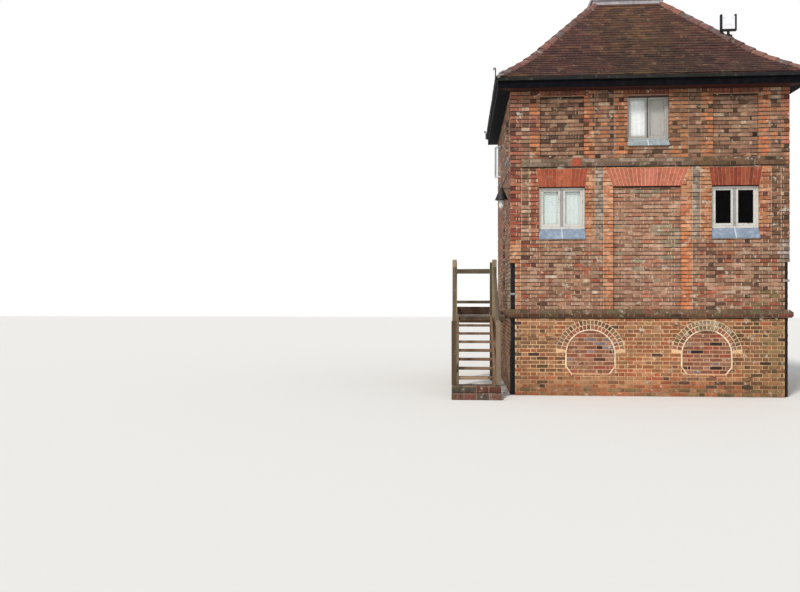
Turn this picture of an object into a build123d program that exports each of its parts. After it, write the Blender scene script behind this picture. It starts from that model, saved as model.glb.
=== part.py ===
import os
from math import asin, atan2, cos, degrees, hypot, pi, radians, sin, tan

from build123d import *

# Brick house on a square plan, with a hipped roof, blind arches and an outside stair.
# Millimetres, +X right along the front, +Y from the front to the back, +Z up. The pieces are
# drawn round the middle of the square on the ground, and written with the origin at the
# middle of the front wall's foot.

# Walls and storeys
SIDE = 5200
HALF = SIDE / 2
WALL = 330
COURSE = 75
JOINT = 10
HALF_BRICK = 105
EAVES_Z = 78 * COURSE
WALL_TOP = 6200
PLINTH_UNDER = 20 * COURSE
PLINTH_HOLLOW = 35
PLINTH_FACE_TOP = 1600
PLINTH_TOP = 22 * COURSE
PLINTH_OUT = 55
BAND_Z = 4390
BAND_HIGH = 2 * COURSE
BAND_OUT = 22
BAND_IN_LEFT = 200
BAND_IN_RIGHT = 80
FIRST_FLOOR_Z = 1480
UPPER_FLOOR_Z = 4400
BOARD = 30
JOIST_HIGH = 175
JOIST_WIDE = 65
JOIST_COUNT = 9

# Windows: a low one has a skewed brick arch over it, an upper one sits under the eaves
LOW_WINDOW_X = 1620
LOW_WINDOW_WIDE = 880
LOW_SILL_Z = 3000
LOW_HEAD_Z = 4010
UP_WINDOW_WIDE = 780
UP_SILL_Z = 4770
UP_HEAD_Z = 5740
SIDE_WINDOW_Y = 1620
SIDE_WINDOW_DROP = 2 * COURSE
LOW_APRON_HIGH = 195
UP_APRON_HIGH = 130
APRON_OUT = 40
APRON_LIP = 22
FRAME_SET_BACK = 55
FRAME_DEEP = 90
FRAME_WIDE = 45
LEAF_WIDE = 42
UP_FRAME_WIDE = 34
UP_LEAF_WIDE = 30
UP_POST_WIDE = 20
LEAF_DEEP = 45
LEAF_IN = 12
LEAF_PLAY = 4
GLASS_THICK = 6
OPEN_LEAF_ANGLE = 38

# Blind panels in the front wall
PANEL_X = -20
PANEL_WIDE = 1280
PANEL_DEEP = 50
UP_PANEL_X = 1620
UP_PANEL_WIDE = 840
UP_PANEL_Z = 4570
UP_PANEL_DEEP = 40

# Flat arches of tapered bricks
ARCH_HIGH = 335
WINDOW_SKEW = 50
PANEL_SKEW = 135
ARCH_BRICK = 68
ARCH_JOINT = 4

# Bricked-up round arches at the foot of the front
BLIND_X = 1085
BLIND_RADIUS = 465
BLIND_SPRING_Z = 800
BLIND_FOOT_Z = 420
BLIND_SPLAY = 110
RING_HIGH = 95
RING_COUNT = 2
RING_START = 9
FILL_SET_BACK = 14
FILL_DEEP = 215

# Corner guards
GUARD = 85
GUARD_HIGH = 2550
GUARD_THICK = 8

# Eaves and roof
EAVES_OUT = 250
EAVES_HALF = HALF + EAVES_OUT
SOFFIT_THICK = 22
FASCIA_THICK = 28
FASCIA_HIGH = 145
FASCIA_TOP = EAVES_Z + FASCIA_HIGH
TILE_OUT = 40
TILE_EDGE = 58
FOOT_PITCH = 37.0
MAIN_PITCH = 46.4
FOOT_RUN = 400
BELL_RADIUS = 4000
ROOF_THICK = 120
TOP_HALF = 735
HIP_TILE_RADIUS = 115
HIP_TILE_LONG = 330
HIP_TILE_LAP = 60
HIP_TILE_SINK = 74
CURB_THICK = 45
CURB_BED = 100
CURB_HIGH = 185
LEAD_THICK = 12
LEAD_OUT = 30
LEAD_ROLL = 22
LEAD_ROLLS = 3
LEAD_LAP = 70
HIP_TILE_SIDES = 14
HIP_FOOT = 125
HIP_TILE_TAPER = 14
IRON_WIDE = 22
IRON_THICK = 8
IRON_REACH = 24
IRON_BEND = 22
IRON_STEM = 170
IRON_CURL = 24
IRON_TAIL = 60
IRON_INSET = 20
IRON_LIFT = 14

# Door and outside stair on the left
DOOR_Y = -400
DOOR_WIDE = 820
DOOR_HEAD_Z = 3400
DOOR_FRAME = 70
DOOR_THICK = 45
DOOR_SILL = 40
LEDGE_HIGH = 130
LEDGE_THICK = 25
STAIR_X = -3270
STAIR_WIDE = 650
STRINGER = 45
STRINGER_HIGH = 230
STRINGER_OVER = 60
STAIR_FOOT_Y = -2950
BRICK_STEP_HIGH = 110
BRICK_STEP_GOING = 230
RISES = 8
GOING = 245
TREAD_THICK = 48
TREAD_DEEP = 225
LANDING_LONG = 1500
DECK_THICK = 38
POST = 95
NOSING = 10
BEARER_WIDE = 60
BEARER_HIGH = 140
FRONT_BEARER_HIGH = 50
RAIL_THICK = 45
RAIL_HIGH = 110
MID_RAIL_HIGH = 70
KICK_HIGH = 190
HANDRAIL_WIDE = 65
HANDRAIL_HIGH = 80
LANDING_RAIL_Z = 2475
MID_RAIL_Z = 1775
POST_TOP_Z = 2680
NEWEL_TOP_Z = 1440

# Lamps
LANTERN_Y = -2200
LANTERN_Z = 3810
LANTERN_RADIUS = 130
LANTERN_X = -HALF - LANTERN_RADIUS - 25
HOOD_HIGH = 200
HOOD_NECK = 42
ARM = 20
PLATE = 8
STAY_RISE = 390
GLOBE_RADIUS = 52
HIP_LAMP_INSET = 1094
SADDLE_LONG = 110
SADDLE_WIDE = 120
SADDLE_HIGH = 62
LAMP_POST = 44
LAMP_POST_HIGH = 80
LAMP_BAR = 34
LAMP_WIDE = 244
LAMP_HIGH = 260


def block(x0, x1, y0, y1, z0, z1):
    """A plain box between two corners."""
    middle = ((x0 + x1) / 2, (y0 + y1) / 2, (z0 + z1) / 2)
    return Pos(*middle) * Box(abs(x1 - x0), abs(y1 - y0), abs(z1 - z0))


def upright_plate(points, y0, y1):
    """A flat outline of (x, z) points, from the plane y0 to the plane y1."""
    outline = Polyline(*[(x, y0, z) for x, z in points], close=True)
    return extrude(make_face(outline), amount=y1 - y0, dir=(0, 1, 0))


def long_plate(points, x0, x1):
    """A flat outline of (y, z) points, from the plane x0 to the plane x1."""
    outline = Polyline(*[(x0, y, z) for y, z in points], close=True)
    return extrude(make_face(outline), amount=x1 - x0, dir=(1, 0, 0))


def turned(shape, quarter):
    """A piece drawn on the front, moved to another side: 1 right, 2 back, 3 left."""
    return Rot(0, 0, 90 * quarter) * shape


def joined(pieces):
    """Several solids that belong to one sub-part."""
    solids = []
    for piece in pieces:
        solids.extend(piece.solids())
    return Compound(solids) if len(solids) > 1 else solids[0]


# Openings

def window_hole(x, wide, sill, head):
    return block(x - wide / 2, x + wide / 2, -HALF - 50, -HALF + WALL + 50, sill, head)


def flat_arch_outline(x, wide, skew, spring):
    half = wide / 2
    return [
        (x - half, spring),
        (x + half, spring),
        (x + half + skew, spring + ARCH_HIGH),
        (x - half - skew, spring + ARCH_HIGH),
    ]


def arch_pocket(x, wide, skew, spring):
    """The bed that a flat arch is let into, half a brick deep."""
    return upright_plate(flat_arch_outline(x, wide, skew, spring), -HALF - 50, -HALF + HALF_BRICK)


def flat_arch(x, wide, skew, spring):
    """Tapered bricks that all point at one centre below the arch, as a gauged arch is set out."""
    count = 2 * round(wide / (ARCH_BRICK + ARCH_JOINT) / 2) + 1
    half = wide / 2
    bricks = []
    for i in range(count):
        low = [x - half + wide * (i + step) / count for step in (0, 1)]
        spread = (wide + 2 * skew) / wide
        high = [x + (edge - x) * spread for edge in low]
        gap = ARCH_JOINT / 2
        outline = [
            (low[0] + gap, spring),
            (low[1] - gap, spring),
            (high[1] - gap, spring + ARCH_HIGH),
            (high[0] + gap, spring + ARCH_HIGH),
        ]
        bricks.append(upright_plate(outline, -HALF, -HALF + HALF_BRICK))
    return bricks


def blind_outline(x, grow):
    """Round head, upright sides and a foot that is splayed in, grown outwards by a margin."""
    radius = BLIND_RADIUS + grow
    knee = BLIND_FOOT_Z + 1.3 * BLIND_SPLAY
    y = -HALF
    foot = BLIND_FOOT_Z - grow
    corners = [
        (x + radius, y, BLIND_SPRING_Z),
        (x + radius, y, knee),
        (x + radius - BLIND_SPLAY, y, foot),
        (x - radius + BLIND_SPLAY, y, foot),
        (x - radius, y, knee),
        (x - radius, y, BLIND_SPRING_Z),
    ]
    head = ThreePointArc(corners[-1], (x, y, BLIND_SPRING_Z + radius), corners[0])
    return make_face([Polyline(*corners), head])


def blind_plug(x, grow, front, deep):
    face = Pos(0, front, 0) * blind_outline(x, grow)
    return extrude(face, amount=deep, dir=(0, 1, 0))


def ring_outline(x, inner, outer):
    """Half ring that starts a few degrees above the springing on both sides."""
    start = radians(RING_START)
    finish = pi - start

    def at(radius, angle):
        return (x + radius * cos(angle), -HALF, BLIND_SPRING_Z + radius * sin(angle))

    sides = [
        Line(at(inner, start), at(outer, start)),
        ThreePointArc(at(outer, start), at(outer, pi / 2), at(outer, finish)),
        Line(at(outer, finish), at(inner, finish)),
        ThreePointArc(at(inner, finish), at(inner, pi / 2), at(inner, start)),
    ]
    return make_face(sides)


def ring_pocket(x):
    outer = BLIND_RADIUS + RING_COUNT * RING_HIGH
    face = ring_outline(x, BLIND_RADIUS - 1, outer)
    return extrude(Pos(0, -50, 0) * face, amount=50 + HALF_BRICK, dir=(0, 1, 0))


def ring_bricks(x):
    """Two rings of headers, each brick cut to the circle's taper."""
    bricks = []
    for ring in range(RING_COUNT):
        inner = BLIND_RADIUS + ring * RING_HIGH + JOINT / 2
        outer = BLIND_RADIUS + (ring + 1) * RING_HIGH - JOINT / 2
        sweep = 180 - 2 * RING_START
        middle = (inner + outer) / 2
        count = round(radians(sweep) * middle / COURSE)
        half_gap = degrees(asin(JOINT / 2 / middle))
        for i in range(count):
            a = radians(RING_START + sweep * i / count + half_gap)
            b = radians(RING_START + sweep * (i + 1) / count - half_gap)
            outline = [
                (x + r * cos(t), BLIND_SPRING_Z + r * sin(t))
                for r, t in ((inner, a), (outer, a), (outer, b), (inner, b))
            ]
            bricks.append(upright_plate(outline, -HALF, -HALF + HALF_BRICK))
    return bricks


# Walls

def plain_wall(length):
    return block(-length / 2, length / 2, -HALF, -HALF + WALL, 0, WALL_TOP)


def front_wall():
    wall = plain_wall(SIDE)
    for x in (-LOW_WINDOW_X, LOW_WINDOW_X):
        wall -= window_hole(x, LOW_WINDOW_WIDE, LOW_SILL_Z, LOW_HEAD_Z)
        wall -= arch_pocket(x, LOW_WINDOW_WIDE, WINDOW_SKEW, LOW_HEAD_Z)
    wall -= window_hole(0, UP_WINDOW_WIDE, UP_SILL_Z, UP_HEAD_Z)
    left, right = PANEL_X - PANEL_WIDE / 2, PANEL_X + PANEL_WIDE / 2
    wall -= block(left, right, -HALF - 50, -HALF + PANEL_DEEP, PLINTH_TOP, LOW_HEAD_Z)
    wall -= arch_pocket(PANEL_X, PANEL_WIDE, PANEL_SKEW, LOW_HEAD_Z)
    for x in (-UP_PANEL_X, UP_PANEL_X):
        half = UP_PANEL_WIDE / 2
        wall -= block(x - half, x + half, -HALF - 50, -HALF + UP_PANEL_DEEP, UP_PANEL_Z, UP_HEAD_Z)
    for x in (-BLIND_X, BLIND_X):
        wall -= blind_plug(x, 0, -50, WALL + 100)
        wall -= ring_pocket(x)
    for x in (-HALF, HALF):
        wall -= block(x - GUARD, x + GUARD, -HALF - 50, -HALF + GUARD, 0, GUARD_HIGH)
    return wall


def back_wall():
    wall = plain_wall(SIDE)
    for x in (-LOW_WINDOW_X, LOW_WINDOW_X):
        wall -= window_hole(x, LOW_WINDOW_WIDE, LOW_SILL_Z, LOW_HEAD_Z)
        wall -= arch_pocket(x, LOW_WINDOW_WIDE, WINDOW_SKEW, LOW_HEAD_Z)
    wall -= window_hole(0, UP_WINDOW_WIDE, UP_SILL_Z, UP_HEAD_Z)
    return turned(wall, 2)


def side_wall(quarter, door):
    """A wall between the front and back walls. Its own left and right are drawn on the front."""
    wall = plain_wall(SIDE - 2 * WALL)
    for x in (-SIDE_WINDOW_Y, SIDE_WINDOW_Y):
        wall -= window_hole(x, UP_WINDOW_WIDE, UP_SILL_Z - SIDE_WINDOW_DROP, UP_HEAD_Z - SIDE_WINDOW_DROP)
    if door:
        wall -= window_hole(-DOOR_Y, DOOR_WIDE, FIRST_FLOOR_Z, DOOR_HEAD_Z)
    return turned(wall, quarter)


def plinth_profile():
    """Moulded course: a hollow under the face, and a sloping top that throws the rain off."""
    y = -HALF
    return [
        (y, PLINTH_UNDER),
        (y - 0.55 * PLINTH_OUT, PLINTH_UNDER),
        (y - 0.80 * PLINTH_OUT, PLINTH_UNDER + 0.4 * PLINTH_HOLLOW),
        (y - PLINTH_OUT, PLINTH_UNDER + PLINTH_HOLLOW),
        (y - PLINTH_OUT, PLINTH_FACE_TOP),
        (y, PLINTH_TOP),
    ]


def mitred(length_piece, reach):
    """Cut a piece that runs along the front so that both ends meet their neighbours at 45 degrees."""
    big = 2 * reach
    wedge = Polyline((0, 0, -big), (-reach, -reach, -big), (reach, -reach, -big), close=True)
    return length_piece & extrude(make_face(wedge), amount=4 * big, dir=(0, 0, 1))


def plinth_course():
    reach = HALF + PLINTH_OUT
    run = mitred(long_plate(plinth_profile(), -reach, reach), reach + 10)
    ring = run
    for quarter in (1, 2, 3):
        ring += turned(run, quarter)
    gap = DOOR_WIDE / 2 + DOOR_FRAME
    return ring - block(-HALF - 100, -HALF, DOOR_Y - gap, DOOR_Y + gap, PLINTH_UNDER - 10, PLINTH_TOP + 10)


def plat_band():
    front = block(
        -HALF + BAND_IN_LEFT, HALF - BAND_IN_RIGHT, -HALF - BAND_OUT, -HALF, BAND_Z, BAND_Z + BAND_HIGH
    )
    return joined([front, turned(front, 2)])


def window_arches(quarter):
    bricks = []
    for x in (-LOW_WINDOW_X, LOW_WINDOW_X):
        bricks += flat_arch(x, LOW_WINDOW_WIDE, WINDOW_SKEW, LOW_HEAD_Z)
    return turned(joined(bricks), quarter)


def panel_arch():
    return joined(flat_arch(PANEL_X, PANEL_WIDE, PANEL_SKEW, LOW_HEAD_Z))


def blind_arches():
    return joined(ring_bricks(-BLIND_X) + ring_bricks(BLIND_X))


def blind_arch_fills():
    fills = [blind_plug(x, 0, FILL_SET_BACK, FILL_DEEP) for x in (-BLIND_X, BLIND_X)]
    return joined(fills)


def corner_guards():
    """An iron angle in each front corner rebate, held by two straps."""
    guards = []
    for side in (-1, 1):
        x = side * HALF
        inner = x - side * GUARD
        thin = inner + side * GUARD_THICK
        guard = block(inner, x, -HALF + GUARD - GUARD_THICK, -HALF + GUARD, 0, GUARD_HIGH)
        guard += block(inner, thin, -HALF, -HALF + GUARD, 0, GUARD_HIGH)
        guards.append(guard)
    return joined(guards)


# Floors

def boarded_floor(top):
    """Joists from front to back with boards over them, between the walls."""
    inside = HALF - WALL
    floor = block(-inside, inside, -inside, inside, top - BOARD, top)
    for i in range(JOIST_COUNT):
        x = -inside + JOIST_WIDE + (2 * inside - 2 * JOIST_WIDE) * i / (JOIST_COUNT - 1)
        floor += block(
            x - JOIST_WIDE / 2, x + JOIST_WIDE / 2, -inside, inside, top - BOARD - JOIST_HIGH, top - BOARD
        )
    return floor


# Eaves and roof

TILE_FOOT = (-EAVES_HALF - TILE_OUT, FASCIA_TOP + TILE_EDGE)


def roof_line(drop):
    """The roof's section from the eaves to the flat top: straight foot, bellcast arc, main slope.

    drop moves the whole line straight down, for the underside.
    """
    y, z = TILE_FOOT
    rise = tan(radians(FOOT_PITCH))
    knee = (y + FOOT_RUN, z + FOOT_RUN * rise - drop)
    foot = Line((0, y, z - drop), (0, knee[0], knee[1]))
    turn = MAIN_PITCH - FOOT_PITCH
    a, b = radians(FOOT_PITCH), radians(MAIN_PITCH)
    end_y = knee[0] + BELL_RADIUS * (sin(b) - sin(a))
    end_z = knee[1] + BELL_RADIUS * (cos(a) - cos(b))
    half = radians(FOOT_PITCH + turn / 2)
    mid_y = knee[0] + BELL_RADIUS * (sin(half) - sin(a))
    mid_z = knee[1] + BELL_RADIUS * (cos(a) - cos(half))
    bell = ThreePointArc((0, knee[0], knee[1]), (0, mid_y, mid_z), (0, end_y, end_z))
    top_z = end_z + (-TOP_HALF - end_y) * tan(b)
    slope = Line((0, end_y, end_z), (0, -TOP_HALF, top_z))
    return [foot, bell, slope]


def roof_point(y):
    """Height of the tiles' surface at a distance from the middle, and the pitch there."""
    foot_y, foot_z = TILE_FOOT
    knee_y = foot_y + FOOT_RUN
    a = radians(FOOT_PITCH)
    knee_z = foot_z + FOOT_RUN * tan(a)
    if y <= knee_y:
        return foot_z + (y - foot_y) * tan(a), a
    b = radians(MAIN_PITCH)
    end_y = knee_y + BELL_RADIUS * (sin(b) - sin(a))
    if y >= end_y:
        end_z = knee_z + BELL_RADIUS * (cos(a) - cos(b))
        return end_z + (y - end_y) * tan(b), b
    angle = asin(sin(a) + (y - knee_y) / BELL_RADIUS)
    return knee_z + BELL_RADIUS * (cos(a) - cos(angle)), angle


ROOF_TOP_Z = roof_point(-TOP_HALF)[0]
CURB_TOP_Z = ROOF_TOP_Z + CURB_HIGH


def roof_slope(quarter):
    """Tiles, battens and rafters of one side. The rafter feet are notched over the wall and fascia."""
    drop = ROOF_THICK / cos(radians(MAIN_PITCH))
    upper = roof_line(0)
    lower = roof_line(drop)
    section = upper + lower + [Line(upper[0] @ 0, lower[0] @ 0), Line(upper[2] @ 1, lower[2] @ 1)]
    reach = EAVES_HALF + TILE_OUT
    sheet = extrude(Pos(-reach, 0, 0) * make_face(section), amount=2 * reach, dir=(1, 0, 0))
    sheet -= block(-reach, reach, -reach - 10, -EAVES_HALF + FASCIA_THICK, 0, FASCIA_TOP)
    sheet -= block(-reach, reach, -HALF, -HALF + WALL, 0, WALL_TOP)
    return turned(mitred(sheet, reach + 10), quarter)


def eaves_board(quarter):
    """Soffit and fascia of one side, with mitred ends. The soffit meets the wall's face."""
    soffit = block(-EAVES_HALF, EAVES_HALF, -EAVES_HALF, -HALF, EAVES_Z, EAVES_Z + SOFFIT_THICK)
    inside = -EAVES_HALF + FASCIA_THICK
    fascia = block(-EAVES_HALF, EAVES_HALF, -EAVES_HALF, inside, EAVES_Z, FASCIA_TOP)
    return turned(mitred(soffit + fascia, EAVES_HALF + 10), quarter)


def hip_tile(y):
    """One tapered round tile with its mortar bed, its wide end down the hip, centred on the front
    left hip at a distance y from the middle."""
    z, pitch = roof_point(y)
    hip_pitch = atan2(tan(pitch), 2 ** 0.5)
    along = Vector(cos(hip_pitch) / 2 ** 0.5, cos(hip_pitch) / 2 ** 0.5, sin(hip_pitch))
    place = Plane(origin=(y, y, z - HIP_TILE_SINK), z_dir=along, x_dir=(1, -1, 0))
    end = place * RegularPolygon(HIP_TILE_RADIUS, HIP_TILE_SIDES)
    return extrude(end, amount=HIP_TILE_LONG, taper=degrees(atan2(HIP_TILE_TAPER, HIP_TILE_LONG)))


def front_left_hip(slopes):
    tiles = None
    y = -EAVES_HALF - TILE_OUT + HIP_FOOT
    while y < -TOP_HALF - HIP_TILE_LONG / 4:
        tile = hip_tile(y)
        tiles = tile if tiles is None else tiles + tile
        pitch = roof_point(y)[1]
        hip_pitch = atan2(tan(pitch), 2 ** 0.5)
        y += (HIP_TILE_LONG - HIP_TILE_LAP) * cos(hip_pitch) / 2 ** 0.5
    big = 3 * HALF
    below = block(-big, big, -big, big, 0, FASCIA_TOP)
    curb = block(-TOP_HALF, TOP_HALF, -TOP_HALF, TOP_HALF, 0, 2 * CURB_TOP_Z)
    hidden = below + curb
    for slope in slopes:
        hidden += slope
    return (tiles - hidden).solids().sort_by(SortBy.VOLUME)[-1]


def hip_iron(hidden):
    """Hook of flat bar at the hip's foot, which keeps the lowest hip tile from sliding."""
    out = EAVES_HALF + TILE_OUT - IRON_INSET
    z = FASCIA_TOP + IRON_LIFT
    corner = Vector(-out, -out, z)
    diagonal = Vector(-1, -1, 0).normalized()
    place = Plane(origin=corner, x_dir=diagonal, z_dir=diagonal.cross(Vector(0, 0, 1)))
    foot = Line((-IRON_TAIL, 0), (IRON_REACH, 0))
    bend = JernArc((IRON_REACH, 0), (1, 0), IRON_BEND, 90)
    stem = Line(bend @ 1, (bend @ 1) + Vector(0, IRON_STEM))
    curl = JernArc(stem @ 1, (0, 1), IRON_CURL, -235)
    path = place * Wire([foot, bend, stem, curl])
    start = Plane(origin=path @ 0, z_dir=path % 0, x_dir=(1, -1, 0))
    iron = sweep(start * Rectangle(IRON_WIDE, IRON_THICK), path=path)
    for solid in hidden:
        iron -= solid
    return iron.solids().sort_by(SortBy.VOLUME)[-1]


def roof_curb():
    """Low square kerb of boards that closes the cut-off top of the roof."""
    outer = block(-TOP_HALF, TOP_HALF, -TOP_HALF, TOP_HALF, ROOF_TOP_Z - CURB_BED, CURB_TOP_Z)
    inside = TOP_HALF - CURB_THICK
    return outer - block(-inside, inside, -inside, inside, 0, CURB_TOP_Z - CURB_THICK)


def lead_cap():
    """Lead sheet over the kerb, turned down at the edges, with rolls where its sheets join."""
    out = TOP_HALF + LEAD_OUT
    cap = block(-out, out, -out, out, CURB_TOP_Z - LEAD_LAP, CURB_TOP_Z + LEAD_THICK)
    cap -= block(-TOP_HALF, TOP_HALF, -TOP_HALF, TOP_HALF, 0, CURB_TOP_Z)
    inner = out - LEAD_THICK
    cap -= block(-inner, inner, -inner, inner, 0, CURB_TOP_Z)
    for i in range(LEAD_ROLLS):
        x = out * (2 * (i + 1) / (LEAD_ROLLS + 1) - 1)
        roll = Rot(90, 0, 0) * Cylinder(LEAD_ROLL, 2 * out)
        roll = Pos(x, 0, CURB_TOP_Z + LEAD_THICK) * roll
        cap += roll - block(-out, out, -2 * out, 2 * out, 0, CURB_TOP_Z + LEAD_THICK / 2)
    return cap


# Windows and door

def window(x, wide, sill, head, bars, open_leaf=0):
    """Timber frame with a middle post and two casements, drawn on the front.

    bars holds the widths of the frame, of a casement's bars and of the post. open_leaf turns the
    casement on the right of the frame outwards by that many degrees.
    """
    frame_wide, leaf_wide, post_wide = bars
    y = -HALF + FRAME_SET_BACK
    left, right = x - wide / 2, x + wide / 2
    frame = block(left, right, y, y + FRAME_DEEP, sill, head)
    low, high = sill + frame_wide, head - frame_wide
    holes = [
        (left + frame_wide, x - post_wide / 2),
        (x + post_wide / 2, right - frame_wide),
    ]
    for a, b in holes:
        frame -= block(a, b, y - 5, y + FRAME_DEEP + 5, low, high)
    pieces = [frame]
    for i, (a, b) in enumerate(holes):
        if i == 1 and open_leaf:
            leaf = casement(a + LEAF_PLAY, b, y + LEAF_IN, low + LEAF_PLAY, high - LEAF_PLAY, leaf_wide)
            leaf = Pos(LEAF_PLAY, 0, 0) * swung(leaf, b, y + LEAF_IN, open_leaf)
        else:
            leaf = casement(a, b, y + LEAF_IN, low, high, leaf_wide)
        pieces.append(leaf)
    whole = pieces[0]
    for piece in pieces[1:]:
        whole += piece
    return whole


def swung(shape, x, y, angle):
    """A casement or pane turned about its upright hinge line."""
    return Pos(x, y, 0) * Rot(0, 0, angle) * Pos(-x, -y, 0) * shape


def casement(a, b, y, z0, z1, wide):
    leaf = block(a, b, y, y + LEAF_DEEP, z0, z1)
    return leaf - block(a + wide, b - wide, y - 5, y + LEAF_DEEP + 5, z0 + wide, z1 - wide)


def window_glass(x, wide, sill, head, bars, open_leaf=0):
    """Panes let into the casements, half way through their depth."""
    frame_wide, leaf_wide, post_wide = bars
    y = -HALF + FRAME_SET_BACK + LEAF_IN
    middle = y + LEAF_DEEP / 2
    panes = []
    spans = [
        (x - wide / 2 + frame_wide, x - post_wide / 2),
        (x + post_wide / 2, x + wide / 2 - frame_wide),
    ]
    z0, z1 = sill + frame_wide + leaf_wide, head - frame_wide - leaf_wide
    for i, (a, b) in enumerate(spans):
        pane = block(a + leaf_wide, b - leaf_wide, middle, middle + GLASS_THICK, z0, z1)
        if i == 1 and open_leaf:
            left, low, high = a + LEAF_PLAY + leaf_wide, z0 + LEAF_PLAY, z1 - LEAF_PLAY
            pane = block(left, b - leaf_wide, middle, middle + GLASS_THICK, low, high)
            pane = Pos(LEAF_PLAY, 0, 0) * swung(pane, b, y, open_leaf)
        panes.append(pane)
    return panes


def lead_sill(x, wide, sill, high):
    """Sloping apron of sheet lead in front of the frame, over the brick sill."""
    back = -HALF + FRAME_SET_BACK
    nose = -HALF - APRON_OUT
    outline = [
        (back, sill),
        (nose + APRON_LIP / 2, sill),
        (nose, sill + APRON_LIP / 5),
        (nose, sill + APRON_LIP),
        (back - APRON_LIP / 4, sill + high),
        (back, sill + high),
    ]
    apron = long_plate(outline, x - wide / 2, x + wide / 2)
    under = block(x - wide / 2, x + wide / 2, back, back + FRAME_DEEP, sill, sill + high)
    return apron + under


LOW_BARS = (FRAME_WIDE, LEAF_WIDE, FRAME_WIDE)
UP_BARS = (UP_FRAME_WIDE, UP_LEAF_WIDE, UP_POST_WIDE)
LOW_WINDOW = (LOW_WINDOW_WIDE, LOW_SILL_Z + LOW_APRON_HIGH, LOW_HEAD_Z, LOW_BARS)
UP_WINDOW = (UP_WINDOW_WIDE, UP_SILL_Z + UP_APRON_HIGH, UP_HEAD_Z, UP_BARS)
SIDE_SILL_Z = UP_SILL_Z - SIDE_WINDOW_DROP
SIDE_WINDOW = (UP_WINDOW_WIDE, SIDE_SILL_Z + UP_APRON_HIGH, UP_HEAD_Z - SIDE_WINDOW_DROP, UP_BARS)


def front_windows():
    low = [window(x, *LOW_WINDOW) for x in (-LOW_WINDOW_X, LOW_WINDOW_X)]
    return low + [window(0, *UP_WINDOW)]


def front_glass():
    panes = []
    for x in (-LOW_WINDOW_X, LOW_WINDOW_X):
        panes += window_glass(x, *LOW_WINDOW)
    return panes + window_glass(0, *UP_WINDOW)


def side_windows(make, open_leaf=0):
    pieces = []
    for x in (-SIDE_WINDOW_Y, SIDE_WINDOW_Y):
        turn = open_leaf if x < 0 else 0
        piece = make(x, *SIDE_WINDOW, turn)
        pieces += piece if isinstance(piece, list) else [piece]
    return pieces


def lead_sills():
    front = [lead_sill(x, LOW_WINDOW_WIDE, LOW_SILL_Z, LOW_APRON_HIGH) for x in (-LOW_WINDOW_X, LOW_WINDOW_X)]
    front.append(lead_sill(0, UP_WINDOW_WIDE, UP_SILL_Z, UP_APRON_HIGH))
    side = [lead_sill(x, UP_WINDOW_WIDE, SIDE_SILL_Z, UP_APRON_HIGH) for x in (-SIDE_WINDOW_Y, SIDE_WINDOW_Y)]
    every = front + [turned(sill, 2) for sill in front]
    for quarter in (1, 3):
        every += [turned(sill, quarter) for sill in side]
    return joined(every)


def door_frame():
    """Frame in the left wall's doorway, with its head and threshold."""
    x = -DOOR_Y
    half = DOOR_WIDE / 2
    y = -HALF + FRAME_SET_BACK
    frame = block(x - half, x + half, y, y + FRAME_DEEP, FIRST_FLOOR_Z, DOOR_HEAD_Z)
    inner = half - DOOR_FRAME
    low, high = FIRST_FLOOR_Z + DOOR_SILL, DOOR_HEAD_Z - DOOR_FRAME
    frame -= block(x - inner, x + inner, y - 5, y + FRAME_DEEP + 5, low, high)
    return turned(frame, 3)


def door_leaf():
    """Boarded door, shut, with two ledges behind the boards."""
    x = -DOOR_Y
    inner = DOOR_WIDE / 2 - DOOR_FRAME
    y = -HALF + FRAME_SET_BACK + 10
    low, high = FIRST_FLOOR_Z + DOOR_SILL, DOOR_HEAD_Z - DOOR_FRAME
    boards = block(x - inner, x + inner, y, y + DOOR_THICK, low, high)
    back = y + DOOR_THICK
    for z in (low + 2 * LEDGE_HIGH, high - 3 * LEDGE_HIGH):
        boards += block(x - inner + 20, x + inner - 20, back, back + LEDGE_THICK, z, z + LEDGE_HIGH)
    return turned(boards, 3)


# Outside stair

BRICK_TOP = 2 * BRICK_STEP_HIGH
RISE = (FIRST_FLOOR_Z - BRICK_TOP) / RISES
LANDING_Y = STAIR_FOOT_Y + (RISES - 1) * GOING
LANDING_END = LANDING_Y + LANDING_LONG
STAIR_LEFT = STAIR_X - STAIR_WIDE / 2
STAIR_RIGHT = STAIR_X + STAIR_WIDE / 2


def brick_steps():
    left, right = STAIR_LEFT - STRINGER - POST, STAIR_RIGHT + STRINGER + POST
    back = STAIR_FOOT_Y + GOING
    upper = STAIR_FOOT_Y - BRICK_STEP_GOING
    lower = upper - BRICK_STEP_GOING
    low_step = block(left, right, lower, back, 0, BRICK_STEP_HIGH)
    return low_step + block(left, right, upper, back, BRICK_STEP_HIGH, BRICK_TOP)


def stringer(side):
    """Sloping side board of the stair, cut level at the foot and plumb at the landing."""
    inner = STAIR_X + side * STAIR_WIDE / 2
    outer = inner + side * STRINGER
    slope = RISE / GOING
    y0, y1 = STAIR_FOOT_Y - 2 * NOSING, LANDING_Y + NOSING
    top = BRICK_TOP + RISE + STRINGER_OVER
    drop = STRINGER_HIGH * hypot(1, slope)

    def line(y):
        return top + (y - y0) * slope

    foot_y = y0 + (drop - (top - BRICK_TOP)) / slope
    outline = [
        (y0, BRICK_TOP),
        (y0, line(y0)),
        (y1, line(y1) - STRINGER_OVER),
        (y1, line(y1) - drop),
        (foot_y, BRICK_TOP),
    ]
    return long_plate(outline, min(inner, outer), max(inner, outer))


def stair_treads():
    treads = []
    for i in range(RISES - 1):
        y = STAIR_FOOT_Y + i * GOING
        z = BRICK_TOP + (i + 1) * RISE
        treads.append(block(STAIR_LEFT, STAIR_RIGHT, y, y + TREAD_DEEP, z - TREAD_THICK, z))
    return joined(treads)


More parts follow.
